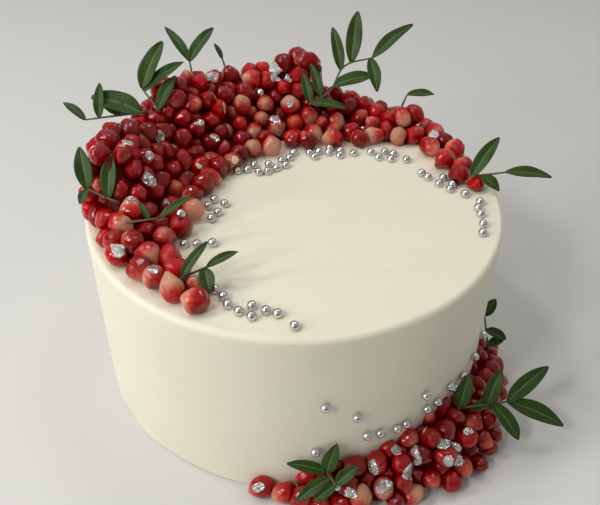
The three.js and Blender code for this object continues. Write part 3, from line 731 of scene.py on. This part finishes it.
# The foot heap's stations: azimuth, outer radius, and height against the cake's side.
FOOT_STATIONS = [
    (255, 0.101, 0.008), (263, 0.103, 0.009), (271, 0.105, 0.012), (278, 0.109, 0.017), (286, 0.112, 0.02),
    (292, 0.114, 0.021), (300, 0.116, 0.023), (307, 0.12, 0.027), (315, 0.12, 0.027), (323, 0.118, 0.024),
    (332, 0.113, 0.021), (341, 0.111, 0.02), (350, 0.107, 0.016), (358, 0.101, 0.007),
]
# Seeds that stand out, as they lie: pixel of the middle, direction of the pale end as seen in pixels (none
# where it points at the view), how far the pale colour reaches, and how bright the ruby is.
MARKED_TOP_SEEDS = [
    ((196, 302), (-15, -4), 0.42, 0.55), ((172, 288), (-3, -14), 0.62, 0.75),
    ((155, 275), (-4, -9), 0.60, 0.60), ((171, 260), (2, 10), 0.10, 0.75), ((137, 269), (8, 9), 0.30, 0.45),
    ((116, 259), (-10, -3), 0.42, 0.80),
    ((113, 240), (-10, 0), 0.25, 0.50), ((149, 255), (4, 6), 0.60, 0.70), ((164, 239), (0, 0), 0.20, 0.40),
    ((185, 231), (-9, 3), 0.20, 0.50), ((194, 211), (8, 7), 0.70, 0.80), ((120, 223), (4, 3), 0.95, 0.80),
    ((104, 220), (-6, -6), 0.10, 0.80), ((91, 212), (-5, 5), 0.15, 0.90), ((131, 209), (0, -8), 0.70, 0.60),
    ((132, 240), (-5, -4), 0.35, 0.30), ((177, 190), (0, 0), 0.18, 0.50), ((253, 130), (0, 12), 0.95, 0.50),
    ((253, 151), (0, 0), 0.38, 0.50), ((272, 151), (4, 10), 0.90, 0.50), ((293, 140), (3, -5), 0.15, 0.70),
    ((242, 105), (0, -10), 0.90, 0.50), ((265, 103), (0, 0), 0.30, 0.50), ((290, 104), (0, -3), 0.80, 0.50),
    ((276, 124), (3, 8), 0.45, 0.50), ((310, 116), (7, 6), 0.75, 0.70), ((335, 121), (6, 7), 0.50, 0.60),
    ((313, 134), (5, 8), 0.50, 0.50), ((333, 141), (-10, 2), 0.42, 0.75), ((352, 133), (2, -9), 0.20, 0.40),
    ((374, 137), (-9, 1), 0.95, 0.70), ((398, 138), (0, 0), 0.50, 0.80), ((414, 135), (5, -3), 0.30, 0.80),
    ((402, 117), (3, 6), 0.45, 0.70), ((417, 109), (0, 8), 0.05, 0.40), ((430, 149), (3, 9), 0.30, 0.60),
    ((444, 161), (2, -9), 0.50, 0.80), ((456, 147), (-3, -6), 0.45, 0.30), ((461, 166), (0, 0), 0.10, 0.30),
    ((476, 183), (-5, -7), 0.15, 0.95),
]
MARKED_FOOT_SEEDS = [
    ((261, 487), (-6, 3), 0.15, 0.60), ((284, 492), (-10, 4), 0.45, 0.80), ((307, 470), (-8, 2), 0.15, 0.60),
    ((355, 466), (6, -5), 0.10, 0.35), ((377, 462), (-3, 5), 0.30, 0.40), ((385, 488), (0, 0), 0.35, 0.55),
    ((413, 495), (3, -2), 0.85, 0.80), ((361, 497), (2, -8), 0.75, 0.80), ((408, 437), (3, 4), 0.30, 0.60),
]


def between(stations, azimuth, column):
    """A value at one azimuth, eased between the stations on either side of it."""
    if azimuth <= stations[0][0]:
        return stations[0][column]
    if azimuth >= stations[-1][0]:
        return stations[-1][column]
    i = next(i for i, station in enumerate(stations) if station[0] > azimuth)
    before, after = stations[i - 1], stations[i]
    share = (azimuth - before[0]) / (after[0] - before[0])
    return before[column] + (after[column] - before[column]) * share * share * (3 - 2 * share)


def top_form(azimuth, across):
    """The crescent's outer form: a single layer at its inner edge, a climb to the crest, and a round fall."""
    inner = between(TOP_STATIONS, azimuth, 1) + INNER_SEEDS
    outer = between(TOP_STATIONS, azimuth, 2)
    crest = max(between(TOP_STATIONS, azimuth, 3), LAYER)
    crest_radius = inner + (outer - inner) * CREST_PLACE
    if across < CREST_PLACE:
        share = across / CREST_PLACE
        climb = min(max((share - CREST_CLIMB[0]) / (CREST_CLIMB[1] - CREST_CLIMB[0]), 0), 1)
        height = LAYER + (crest - LAYER) * climb * climb * (3 - 2 * climb)
        return polar(azimuth, inner + (crest_radius - inner) * share, CAKE_HEIGHT + GAP + height)
    angle = math.radians(90 * (across - CREST_PLACE) / (1 - CREST_PLACE))
    radius = crest_radius + (outer - crest_radius) * math.sin(angle)
    return polar(azimuth, radius, CAKE_HEIGHT + GAP + crest * math.cos(angle))


def foot_form(azimuth, across):
    """The foot heap's outer form: a quarter round from the cake's side down to the plane it rests on."""
    side = FOOT_RADIUS - 0.001
    outer, height = between(FOOT_STATIONS, azimuth, 1), between(FOOT_STATIONS, azimuth, 2)
    angle = math.radians(90 * across)
    return polar(azimuth, side + (outer - side) * math.sin(angle), height * math.cos(angle))


def out_of(form, azimuth, across):
    """The direction straight out of a form."""
    onwards = form(azimuth + 0.5, across) - form(azimuth - 0.5, across)
    outwards = form(azimuth, min(across + 0.01, 1)) - form(azimuth, max(across - 0.01, 0))
    return outwards.cross(onwards).normalized()


class Seed:
    """One seed as it lies: its middle, the way its blunt end points, its size, colours and depth."""

    def __init__(self, azimuth, middle, axis, out, size, pale, tone, depth):
        self.azimuth, self.depth = azimuth, depth
        self.middle, self.axis, self.out = np.array(middle), np.array(axis), np.array(out)
        self.size, self.pale, self.tone = size, pale, tone


class Heap:
    """Seeds laid over a form, clear of what stands there."""

    def __init__(self, form, stations, floor, habits, obstacles):
        self.form, self.stations, self.floor, self.habits = form, stations, floor, habits
        self.obstacles = obstacles
        self.seeds = []

    def lay(self, azimuth, across, depth, axis, size, pale, tone, spacing, clear=SEED_CLEAR):
        """A seed just under the form, unless it would come too near another or what stands there."""
        out = out_of(self.form, azimuth, across)
        lean = axis.angle(out)
        reach = 0.5 * size * math.hypot(SEED_LENGTH * math.cos(lean), SEED_WIDTH * math.sin(lean))
        middle = self.form(azimuth, across) - out * (reach + depth)
        middle.z = max(middle.z, self.floor + LOWEST_MIDDLE)
        place = np.array(middle)
        if any(np.linalg.norm(seed.middle - place) < spacing for seed in self.seeds):
            return
        if np.min(np.linalg.norm(self.obstacles[0] - place, axis=1) - self.obstacles[1]) < clear:
            return
        self.seeds.append(Seed(azimuth, middle, axis, out, size, pale, tone, depth))

    def lay_marked(self, marked):
        """The seeds that stand out, each where its pixel shows the form."""
        azimuths = np.arange(self.stations[0][0], self.stations[-1][0], FORM_STEP)
        spots = [(azimuth, across) for azimuth in azimuths for across in np.linspace(0, 1, FORM_COLUMNS)]
        outs = [out_of(self.form, *spot) for spot in spots]
        middles = [self.form(*spot) - out * MARKED_SINK for spot, out in zip(spots, outs)]
        right, up = tilt.to_3x3() @ Vector((1, 0, 0)), tilt.to_3x3() @ Vector((0, 1, 0))
        for (x, y), (to_right, down), pale, tone in marked:
            ray = sight(x, y)
            misses = [(middle - VIEW_PLACE).cross(ray).length for middle in middles]
            hidden = [HIDDEN * (out.dot(ray) > FAR_SIDE) for out in outs]
            best = int(np.argmin(np.array(misses) + hidden))
            seen = right * to_right - up * down
            tip = seen - outs[best] * seen.dot(outs[best]) if seen.length else outs[best] - ray
            colours = (min(pale, PALE_MOST), tone)
            self.lay(*spots[best], 0.0, -tip.normalized(), MARKED_SIZE, *colours, MARKED_SPACING, 0.0)

    def spread(self, tries, spacing, depth, rng):
        """Seeds laid by random tries."""
        for _ in range(tries):
            first, last = self.stations[0][0] + TAIL_CLEAR, self.stations[-1][0] - TAIL_CLEAR
            azimuth, across = rng.uniform(first, last), rng.uniform(0, 1)
            lying, tips, brightest = self.habits(azimuth, across)
            out = out_of(self.form, azimuth, across)
            sideways = out.orthogonal().normalized()
            sideways.rotate(Matrix.Rotation(rng.uniform(0, 2 * math.pi), 3, out))
            if rng.random() < lying:
                lean, pale = rng.uniform(*LYING_LEANS), rng.uniform(*LYING_PALE)
            elif rng.random() < tips:
                lean, pale = 180 - abs(rng.normal(0, TIP_STRAY)), rng.uniform(*TIP_PALE)
            else:
                lean, pale = abs(rng.normal(0, BLUNT_STRAY)), rng.uniform(*BLUNT_PALE)
            lean = math.radians(lean)
            axis = out * math.cos(lean) + sideways * math.sin(lean)
            size, tone = rng.uniform(*SEED_SIZES), rng.uniform(0, brightest)
            self.lay(azimuth, across, depth, axis, size, pale, tone, spacing * (1 + LYING_ROOM * lying))


def ball(splits):
    """Points and faces of a ball of radius 1, split evenly."""
    made = bmesh.new()
    bmesh.ops.create_icosphere(made, subdivisions=splits, radius=1)
    points = np.array([vertex.co[:] for vertex in made.verts])
    faces = np.array([[vertex.index for vertex in face.verts] for face in made.faces])
    made.free()
    return points, faces


def seed_body(ball_points, seed, planes, rng):
    """One seed's points: a blunt drop with flat sides of its own, cut back by the planes around it."""
    up = Vector(seed.axis)
    side = up.orthogonal().normalized()
    side.rotate(Matrix.Rotation(rng.uniform(0, 2 * math.pi), 3, up))
    own_axes = np.array([side, up.cross(side), up])
    z = ball_points[:, 2]
    girth = 1 + BLUNT_GIRTH * z - POINT_GIRTH * np.clip(-z, 0, 1) ** 1.5
    half_width = 0.5 * SEED_WIDTH * seed.size * rng.uniform(*SEED_WIDTHS)
    half_length = 0.5 * SEED_LENGTH * seed.size * rng.uniform(*SEED_LENGTHS)
    half_depth = half_width * rng.uniform(*SEED_DEPTHS)
    halves = np.stack([half_width * girth, half_depth * girth, np.full_like(z, half_length)], axis=1)
    local = ball_points * halves
    world = local @ own_axes
    normals, heights = [], []
    sides = rng.integers(FACETS[0], FACETS[1] + 1)
    for i in range(sides):
        turn = 2 * math.pi * (i + rng.uniform(-FACET_STRAY, FACET_STRAY)) / sides
        lean = rng.uniform(*FACET_LEANS)
        normals.append(np.array([math.cos(turn), math.sin(turn), lean]) / math.hypot(1, lean) @ own_axes)
        heights.append(half_width * rng.uniform(*FACET_REACH))
    for i in range(END_FACETS):
        turn = 2 * math.pi * (i + rng.uniform(-END_STRAY, END_STRAY)) / END_FACETS
        outwards, upwards = END_TILT
        normals.append(np.array([outwards * math.cos(turn), outwards * math.sin(turn), upwards]) @ own_axes)
        heights.append(half_length * rng.uniform(*END_REACH))
    for normal, height in planes:
        normals.append(normal)
        heights.append(height)
    reach = np.clip(world @ np.array(normals).T / np.array(heights), 0, None)
    cut = (1 + np.sum(reach ** FACET_SHARPNESS, axis=1)) ** (-1 / FACET_SHARPNESS)
    return world * cut[:, None], local, (z + 1) / 2


def seed_mesh(name, seeds, heap, ball_shape, walls, rng, finish):
    """Some of a heap's seeds as one piece, each cut back where it meets its neighbours."""
    ball_points, ball_faces = ball_shape
    middles = np.array([other.middle for other in heap.seeds])
    sizes = np.array([other.size for other in heap.seeds])
    all_points, all_faces = [], []
    marks = {"along": [], "tone": [], "pale": [], "deep": [], "fibre": []}
    for i, seed in enumerate(seeds):
        gaps = middles - seed.middle
        distances = np.linalg.norm(gaps, axis=1)
        planes = []
        for j in np.flatnonzero((distances > 0) & (distances < NEIGHBOURS)):
            share = seed.size / (seed.size + sizes[j])
            planes.append((gaps[j] / distances[j], max(distances[j] * share - TOUCH, LEAST_REACH)))
        places, radii = heap.obstacles
        gaps = places - seed.middle
        distances = np.linalg.norm(gaps, axis=1)
        for j in np.flatnonzero(distances < SPRIG_REACH):
            planes.append((gaps[j] / distances[j], max(distances[j] - radii[j], LEAST_REACH)))
        planes += walls(seed.middle)
        body, local, along = seed_body(ball_points, seed, planes, rng)
        all_faces.append(ball_faces + len(ball_points) * i)
        all_points.append(body + seed.middle)
        marks["along"].append(along)
        marks["tone"].append(np.full(len(body), seed.tone))
        marks["pale"].append(np.full(len(body), seed.pale))
        # Painted shade: the depth mark makes a seed darker the deeper its layer lies and towards its side
        # away from the heap's outside.
        sunk = PAINTED_SHADE_AT_MIDDLE - body @ seed.out / SEED_WIDTH + seed.depth / LAYER
        marks["deep"].append(np.clip(sunk, 0, 1))
        marks["fibre"].append(local * FIBRE_STRETCH + rng.uniform(-1, 1, 3))
    piece = shaped(name, np.concatenate(all_points).tolist(), np.concatenate(all_faces).tolist(), finish)
    for mark, values in marks.items():
        values = np.concatenate(values)
        kind, field = ("FLOAT_VECTOR", "vector") if values.ndim == 2 else ("FLOAT", "value")
        layer = piece.data.attributes.new(mark, kind, "POINT")
        layer.data.foreach_set(field, values.astype(np.float32).ravel())
    return piece


def top_walls(middle):
    """The plane that cuts a seed back where it lies on the cake's top."""
    return [(np.array([0, 0, -1.0]), max(middle[2] - CAKE_HEIGHT - SEED_LIFT, LEAST_REACH))]


def foot_walls(middle):
    """The planes that cut a seed back at the table and at the cake's side."""
    radius = math.hypot(middle[0], middle[1])
    inward = -np.array([middle[0], middle[1], 0]) / radius
    down = np.array([0, 0, -1.0])
    return [(down, max(middle[2], LEAST_REACH)), (inward, max(radius - FOOT_RADIUS, LEAST_SIDE_REACH))]


LOOSE_CREST = 0.0125  # where the crescent is lower, its seeds lie loose
LYING = {"loose": 0.8, "inner edge": 0.6, "packed": 0.12, "foot ends": 0.7}  # share of seeds that lie
EDGE_BREADTH = 0.16
BACK_SLOPE = (50, 150, 0.55)  # azimuths, and share of the breadth, where many pale ends show
LEFT_SLOPE = (140, 215)  # azimuths where the ruby is darker
FOOT_MIDDLE = (292, 338)
TIPS_OUTWARDS = {"back slope": 0.45, "elsewhere": 0.07}  # share of the other seeds
BRIGHTEST = {"left slope": 0.8, "crescent": 1.0, "foot": 0.6}


def top_habits(azimuth, across):
    """How likely a seed of the crescent lies on its side, else how likely its pale end is outwards, and the
    brightest that its ruby may be."""
    packed = "inner edge" if across < EDGE_BREADTH else "packed"
    lying = LYING["loose" if between(TOP_STATIONS, azimuth, 3) < LOOSE_CREST else packed]
    back_slope = BACK_SLOPE[0] < azimuth < BACK_SLOPE[1] and across < BACK_SLOPE[2]
    tips = TIPS_OUTWARDS["back slope" if back_slope else "elsewhere"]
    return lying, tips, BRIGHTEST["left slope" if LEFT_SLOPE[0] < azimuth < LEFT_SLOPE[1] else "crescent"]


def foot_habits(azimuth, across):
    """The same for the heap at the foot."""
    in_middle = FOOT_MIDDLE[0] <= azimuth <= FOOT_MIDDLE[1]
    return LYING["packed" if in_middle else "foot ends"], TIPS_OUTWARDS["elsewhere"], BRIGHTEST["foot"]


CORE_DEPTH = 0.0085  # under the form
CORE_LEAST = 0.0012  # least height
CORE_INSET = 10.0  # degrees from a heap's ends to its core's
CORE_LUMPS = 160  # to the metre
CORE_LUMP_HEIGHT = 0.0016
CORE_ROWS = 60
CORE_BEGINS = 0.12  # share of the form's breadth that is left bare of core at its inner edge
CORE_COLUMNS = 12
CORE_STEP = 0.0002  # least distance outwards from one column to the next
CORE_ROOM = 0.0003  # room that each column leaves the next inside the rim


def core_mesh(heap, begins):
    """A heap's lumpy inside, under its outer seeds, as points and faces."""
    form, floor = heap.form, heap.floor + GAP
    first, last = heap.stations[0][0] + CORE_INSET, heap.stations[-1][0] - CORE_INSET
    points = []
    for azimuth in np.linspace(first, last, CORE_ROWS + 1):
        rim = form(azimuth, 1)
        outermost = math.hypot(rim.x, rim.y) - CORE_DEPTH
        radius = 0.0
        ridge = []
        for column in range(CORE_COLUMNS):
            across = begins + (1 - begins) * column / (CORE_COLUMNS - 1)
            sunk = form(azimuth, across) - out_of(form, azimuth, across) * CORE_DEPTH
            sunk += Vector((0, 0, CORE_LUMP_HEIGHT * noise.noise(sunk * CORE_LUMPS)))
            farthest = outermost - CORE_ROOM * (CORE_COLUMNS - 1 - column)
            radius = max(radius + CORE_STEP, min(math.hypot(sunk.x, sunk.y), farthest))
            ridge.append(polar(azimuth, radius, max(sunk.z, floor + CORE_LEAST)))
        points += [Vector((ridge[0].x, ridge[0].y, floor)), *ridge, Vector((ridge[-1].x, ridge[-1].y, floor))]
    ring = CORE_COLUMNS + 2
    faces = []
    for row in range(CORE_ROWS):
        for column in range(ring):
            a, b = row * ring + column, row * ring + (column + 1) % ring
            faces.append((a, b, b + ring, a + ring))
    faces.append(tuple(reversed(range(ring))))
    faces.append(tuple(CORE_ROWS * ring + column for column in range(ring)))
    return points, faces


SEED_CONSTANTS = {
    "IOR": 1.33,
    "Coat Weight": 0.45,
    "Coat Roughness": 0.025,
    "Transmission Weight": 0.49,
    "Subsurface Weight": 1.0,
    "Subsurface Radius": (1.0, 0.45, 0.35),
    "Subsurface Scale": 0.0022,
}
seed_ruby, seed_shader, start = new_finish("pomegranate_seed", SEED_CONSTANTS)
along, tone, pale, deep = (start.attribute(name) for name in ("along", "tone", "pale", "deep"))
fibre = start.attribute("fibre", "Vector")
streaks = start.grain(fibre, 900.0, 2.0)
clouds = start.grain(fibre, 260.0, 2.0)
# Painted shade: the depth mark darkens the ruby, down to near black deep in the heap and between the seeds.
ruby_tone_and_shade = (tone * 0.60 + clouds * 0.45) * (1 - deep * 0.7)
ruby = start.mixed(ruby_tone_and_shade, colour_of(0.12, 0.0002, 0.0008), colour_of(0.98, 0.006, 0.005))
ruby = start.mixed(deep.step(0.25, 0.9) * 0.8, ruby, colour_of(0.035, 0.0002, 0.001))
salmon = start.mixed(clouds, colour_of(0.93, 0.06, 0.035), colour_of(0.97, 0.19, 0.11))
cream_flesh = start.mixed(streaks, colour_of(0.97, 0.35, 0.22), colour_of(1.0, 0.62, 0.43))
tip = pale - along + (streaks - 0.5) * 0.40
flesh = start.mixed(tip.step(0.0, 0.30), salmon, cream_flesh)
start.feed(seed_shader.inputs["Base Color"], start.mixed(tip.step(-0.18, 0.12), ruby, flesh))
start.feed(seed_shader.inputs["Roughness"], streaks * 0.05 + 0.03)
start.feed(seed_shader.inputs["Normal"], start.relief(streaks * 0.35 + clouds, 0.34, 0.0004))

# The heap's inside stands for the seeds under the outer ones. Its near-black colour is painted shade between
# them.
INSIDE_CONSTANTS = {"Roughness": 0.5, "Specular IOR Level": 0.1}
shaded_inside, inside_shader, start = new_finish("heap_inside_in_painted_shade", INSIDE_CONSTANTS)
clouds = start.grain(start.node("TexCoord", {}, {}, "Object"), 300.0, 2.0)
inside_shade_colour = start.mixed(clouds, colour_of(0.035, 0.0001, 0.0006), colour_of(0.11, 0.0004, 0.001))
start.feed(inside_shader.inputs["Base Color"], inside_shade_colour)

pearl_array = np.array([middle[:] for middle in pearl_middles])
obstacle_places = np.concatenate([np.array([point[:] for point, _ in sprig_points]), pearl_array])
obstacle_radii = np.array([radius for _, radius in sprig_points] + [PEARL_RADIUS + 0.0001] * len(pearl_array))
obstacles = (obstacle_places, obstacle_radii)

rng = np.random.default_rng(5)
crescent = Heap(top_form, TOP_STATIONS, CAKE_HEIGHT, top_habits, obstacles)
foot_heap = Heap(foot_form, FOOT_STATIONS, 0.0, foot_habits, obstacles)
for heap, marked, layers in (
    (crescent, MARKED_TOP_SEEDS, TOP_LAYERS),
    (foot_heap, MARKED_FOOT_SEEDS, FOOT_LAYERS),
):
    heap.lay_marked(marked)
    for tries, spacing, depth in layers:
        heap.spread(tries, spacing, depth, rng)

LEFT_MOUND = 140  # azimuth at which the left mound begins
fine_ball, coarse_ball = ball(3), ball(2)
heaped = {"pomegranate_top": [], "pomegranate_foot": []}  # the pieces of each heap, for what lies on them
for piece_name, heap, walls, node, ball_shape, belongs in (
    ("seeds_left", crescent, top_walls, "pomegranate_top", fine_ball,
     lambda seed: seed.depth == 0 and seed.azimuth > LEFT_MOUND),
    ("seeds_back", crescent, top_walls, "pomegranate_top", fine_ball,
     lambda seed: seed.depth == 0 and seed.azimuth <= LEFT_MOUND),
    ("seeds_within", crescent, top_walls, "pomegranate_top", coarse_ball, lambda seed: seed.depth > 0),
    ("seeds_foot", foot_heap, foot_walls, "pomegranate_foot", fine_ball, lambda seed: True),
):
    chosen = [seed for seed in heap.seeds if belongs(seed)]
    seeds = seed_mesh(piece_name, chosen, heap, ball_shape, walls, rng, seed_ruby)
    heaped[node].append(seeds)
    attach(seeds, "root")
    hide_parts(node)
for piece_name, heap, node, begins in (
    ("crescent_inside", crescent, "pomegranate_top", CORE_BEGINS),
    ("foot_inside", foot_heap, "pomegranate_foot", 0.0),
):
    core = shaped(piece_name, *core_mesh(heap, begins), shaded_inside)
    heaped[node].append(core)
    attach(core, "root")
    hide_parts(node)


# ---- Silver leaf and membranes ----
# Scraps of beaten silver leaf, torn by hand and dropped on the seeds, where they sag and crumple, with a few
# sugar pearls that rolled there. Thin ivory strands and crumbs of the fruit's inner membrane lie among them.

SHEET_SPOKES = 30
SHEET_RINGS = 9
SHEET_CAST = 0.004  # how far over a sheet's middle it is dropped from
SHEET_SAG = 0.0017  # the most that a sheet rises or sags from its middle
SHEET_CLEAR = 0.00012  # least height of a sheet over the seeds
SHEET_FACING = 0.4  # how far a sheet turns from the seed under it to the view
TEARS = 6
TEAR_REACH = (0.75, 1.1)
TEAR_SLANT = 0.35  # least cosine to a tear's middle that it is reckoned with
MOST_REACH = 1.12
RAGGEDNESS = (0.90, 1.06)
SETTLINGS = 3
CRUMPLES = (520, 1300)  # to the metre, the broad ones and the fine
SILVER_THICKNESS = 0.00006
SILVER_CRUMPLE = 0.00045
MEMBRANE_THICKNESS = 0.0003
MEMBRANE_CRUMPLE = 0.00025
# Silver scraps, each by the pixel of its middle and its length in metres.
TOP_SILVER = [
    ((128, 142), 0.0045), ((160, 136), 0.0055), ((150, 156), 0.004), ((150, 180), 0.006), ((132, 198), 0.004),
    ((165, 203), 0.0035), ((118, 250), 0.006), ((154, 270), 0.004), ((213, 77), 0.006), ((275, 69), 0.006),
    ((275, 77), 0.005), ((288, 80), 0.005), ((275, 119), 0.006), ((200, 123), 0.005), ((215, 137), 0.005),
    ((290, 104), 0.0035), ((434, 134), 0.005),
]
FOOT_SILVER = [
    ((384, 485), 0.0065), ((350, 493), 0.006), ((408, 471), 0.007), ((373, 467), 0.006), ((443, 445), 0.006),
    ((457, 447), 0.005), ((468, 431), 0.004), ((449, 461), 0.005), ((458, 461), 0.005), ((294, 482), 0.006),
    ((258, 487), 0.005), ((396, 450), 0.0045), ((415, 451), 0.005), ((418, 461), 0.004),
]
# Membrane scraps: pixel of the middle, length, width, and the turn of its length as seen, anticlockwise.
TOP_MEMBRANE = [
    ((193, 161), 0.0042, 0.0026, 40), ((199, 166), 0.0034, 0.0022, -30), ((217, 95), 0.0058, 0.0011, -60),
    ((224, 108), 0.0060, 0.0010, -62), ((235, 160), 0.0040, 0.0036, 10),
]
FOOT_MEMBRANE = [((425, 430), 0.0046, 0.0012, -80)]
PEARLS_ON_TOP_SEEDS = [(362, 127), (262, 95), (180, 217)]
PEARLS_ON_FOOT_SEEDS = [(334, 485)]


def surface_tree(pieces):
    """What rays are cast on, from some pieces."""
    points, corners = [], []
    for piece in pieces:
        first = len(points)
        points += [vertex.co.copy() for vertex in piece.data.vertices]
        corners += [[corner + first for corner in face.vertices] for face in piece.data.polygons]
    return BVHTree.FromPolygons(points, corners)


def torn_outline(length, width, rng):
    """A torn scrap's reach from its middle at each spoke, cut by a few straight tears."""
    tears = [(rng.uniform(0, 2 * math.pi), rng.uniform(*TEAR_REACH)) for _ in range(TEARS)]
    reaches = []
    for turn in np.linspace(0, 2 * math.pi, SHEET_SPOKES, endpoint=False):
        round_reach = 0.5 * length * width / math.hypot(width * math.cos(turn), length * math.sin(turn))
        cuts = [gap / max(math.cos(turn - tear), TEAR_SLANT) for tear, gap in tears]
        reaches.append(round_reach * min(MOST_REACH, *cuts) * rng.uniform(*RAGGEDNESS))
    return reaches


def add_sheet(body, tree, pixel, size, turn, thickness, crumple, rng):
    """A thin scrap dropped on the seeds at a pixel of the picture, for the mesh being gathered in body."""
    points, faces = body
    ray = sight(*pixel)
    middle, normal, _, _ = tree.ray_cast(VIEW_PLACE, ray)
    out = (normal.normalized() * (1 - SHEET_FACING) - ray * SHEET_FACING).normalized()
    right = tilt.to_3x3() @ headed(turn, 0)
    side = (right - out * right.dot(out)).normalized()
    up = out.cross(side)
    reaches = torn_outline(*size, rng)
    heights = np.zeros((SHEET_RINGS + 1, SHEET_SPOKES))
    places = []
    for ring in range(SHEET_RINGS + 1):
        for spoke, reach in enumerate(reaches):
            angle = 2 * math.pi * spoke / SHEET_SPOKES
            flat = side * math.cos(angle) + up * math.sin(angle)
            place = middle + flat * (reach * ring / SHEET_RINGS)
            hit, _, _, drop = tree.ray_cast(place + out * SHEET_CAST, -out, 2 * SHEET_CAST)
            height = SHEET_CAST - drop if hit else -SHEET_SAG
            heights[ring, spoke] = min(max(height, -SHEET_SAG), SHEET_SAG)
            places.append(place)
    heights[0] = heights[0].mean()
    settled = heights.copy()
    for _ in range(SETTLINGS):
        around = np.roll(settled, 1, axis=1) + np.roll(settled, -1, axis=1)
        inward = np.concatenate([settled[1:2], settled[:-1]])
        outward = np.concatenate([settled[1:], settled[-1:]])
        settled = (around + inward + outward) / 4
        settled[0] = settled[0].mean()
        settled = np.maximum(settled, heights)
    first = len(points)
    for layer in (thickness, 0):
        for i, place in enumerate(places):
            broad, fine = (noise.noise(place * crumples) for crumples in CRUMPLES)
            fold = 0.5 + 0.5 * broad + 0.25 * fine
            lift = settled.flat[i] + SHEET_CLEAR + crumple * max(fold, 0) + layer
            points.append(place + out * lift)
    under = len(places)
    for ring in range(SHEET_RINGS):
        for spoke in range(SHEET_SPOKES):
            onward = (spoke + 1) % SHEET_SPOKES
            a, b = first + ring * SHEET_SPOKES + spoke, first + ring * SHEET_SPOKES + onward
            if ring == 0:
                faces.append((first, a + SHEET_SPOKES, b + SHEET_SPOKES))
                faces.append((first + under, b + SHEET_SPOKES + under, a + SHEET_SPOKES + under))
            else:
                faces.append((a, a + SHEET_SPOKES, b + SHEET_SPOKES, b))
                faces.append((a + under, b + under, b + SHEET_SPOKES + under, a + SHEET_SPOKES + under))
    rim = first + SHEET_RINGS * SHEET_SPOKES
    for spoke in range(SHEET_SPOKES):
        a, b = rim + spoke, rim + (spoke + 1) % SHEET_SPOKES
        faces.append((a, a + under, b + under, b))


silver_leaf, foil_shader, start = new_finish("silver_leaf", {"Metallic": 1.0})
place = start.node("TexCoord", {}, {}, "Object")
cells = {"Vector": place, "Scale": 900.0}
creases = start.node("TexVoronoi", {"feature": "DISTANCE_TO_EDGE"}, cells, "Distance")
haze = start.grain(place, 1200.0, 3.0)
foil_tint = start.mixed(haze, colour_of(0.62, 0.62, 0.61), colour_of(0.92, 0.92, 0.91))
start.feed(foil_shader.inputs["Base Color"], foil_tint)
start.feed(foil_shader.inputs["Roughness"], haze * 0.20 + 0.12)
start.feed(foil_shader.inputs["Normal"], start.relief(creases.step(0.0, 0.25) + haze * 0.6, 0.9, 0.0005))

MEMBRANE_CONSTANTS = {"Subsurface Weight": 0.4, "Subsurface Scale": 0.001}
ivory_membrane, membrane_shader, start = new_finish("fruit_membrane", MEMBRANE_CONSTANTS)
fibres = start.grain(start.node("TexCoord", {}, {}, "Object"), 800.0, 3.0)
membrane_tint = start.mixed(fibres, colour_of(0.74, 0.44, 0.26), colour_of(0.88, 0.68, 0.46))
start.feed(membrane_shader.inputs["Base Color"], membrane_tint)
start.feed(membrane_shader.inputs["Roughness"], fibres * 0.2 + 0.35)
start.feed(membrane_shader.inputs["Normal"], start.relief(fibres, 0.4, 0.0003))

rng = np.random.default_rng(41)
for node, place_name, silver_scraps, membranes, pearl_pixels in (
    ("pomegranate_top", "crescent", TOP_SILVER, TOP_MEMBRANE, PEARLS_ON_TOP_SEEDS),
    ("pomegranate_foot", "foot", FOOT_SILVER, FOOT_MEMBRANE, PEARLS_ON_FOOT_SEEDS),
):
    tree = surface_tree(heaped[node])
    silver_body, membrane_body, perched = ([], []), ([], []), []
    for pixel, length in silver_scraps:
        size = (length * 1.1, length * rng.uniform(0.7, 1.0))
        add_sheet(silver_body, tree, pixel, size, rng.uniform(0, 180), SILVER_THICKNESS, SILVER_CRUMPLE, rng)
    for pixel, length, width, turn in membranes:
        size = (length, width)
        add_sheet(membrane_body, tree, pixel, size, turn, MEMBRANE_THICKNESS, MEMBRANE_CRUMPLE, rng)
    for pixel in pearl_pixels:
        spot, normal, _, _ = tree.ray_cast(VIEW_PLACE, sight(*pixel))
        perched.append(spot + normal * (PEARL_RADIUS - PEARL_SINK / 2))
    for piece_name, body, finish, slot_name in (
        ("silver_leaf_" + place_name, silver_body, silver_leaf, "silver"),
        ("membrane_" + place_name, membrane_body, ivory_membrane, "pomegranate"),
        ("pearls_on_" + place_name, pearl_mesh(perched), silver_sugar, "silver"),
    ):
        piece = shaped(piece_name, *body, finish)
        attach(piece, "root")
        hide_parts(node)


# ---- Size ----

boxes = {"cad": cad_box, "visual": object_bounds()}
{name: [list(corner) for corner in box] for name, box in boxes.items()}
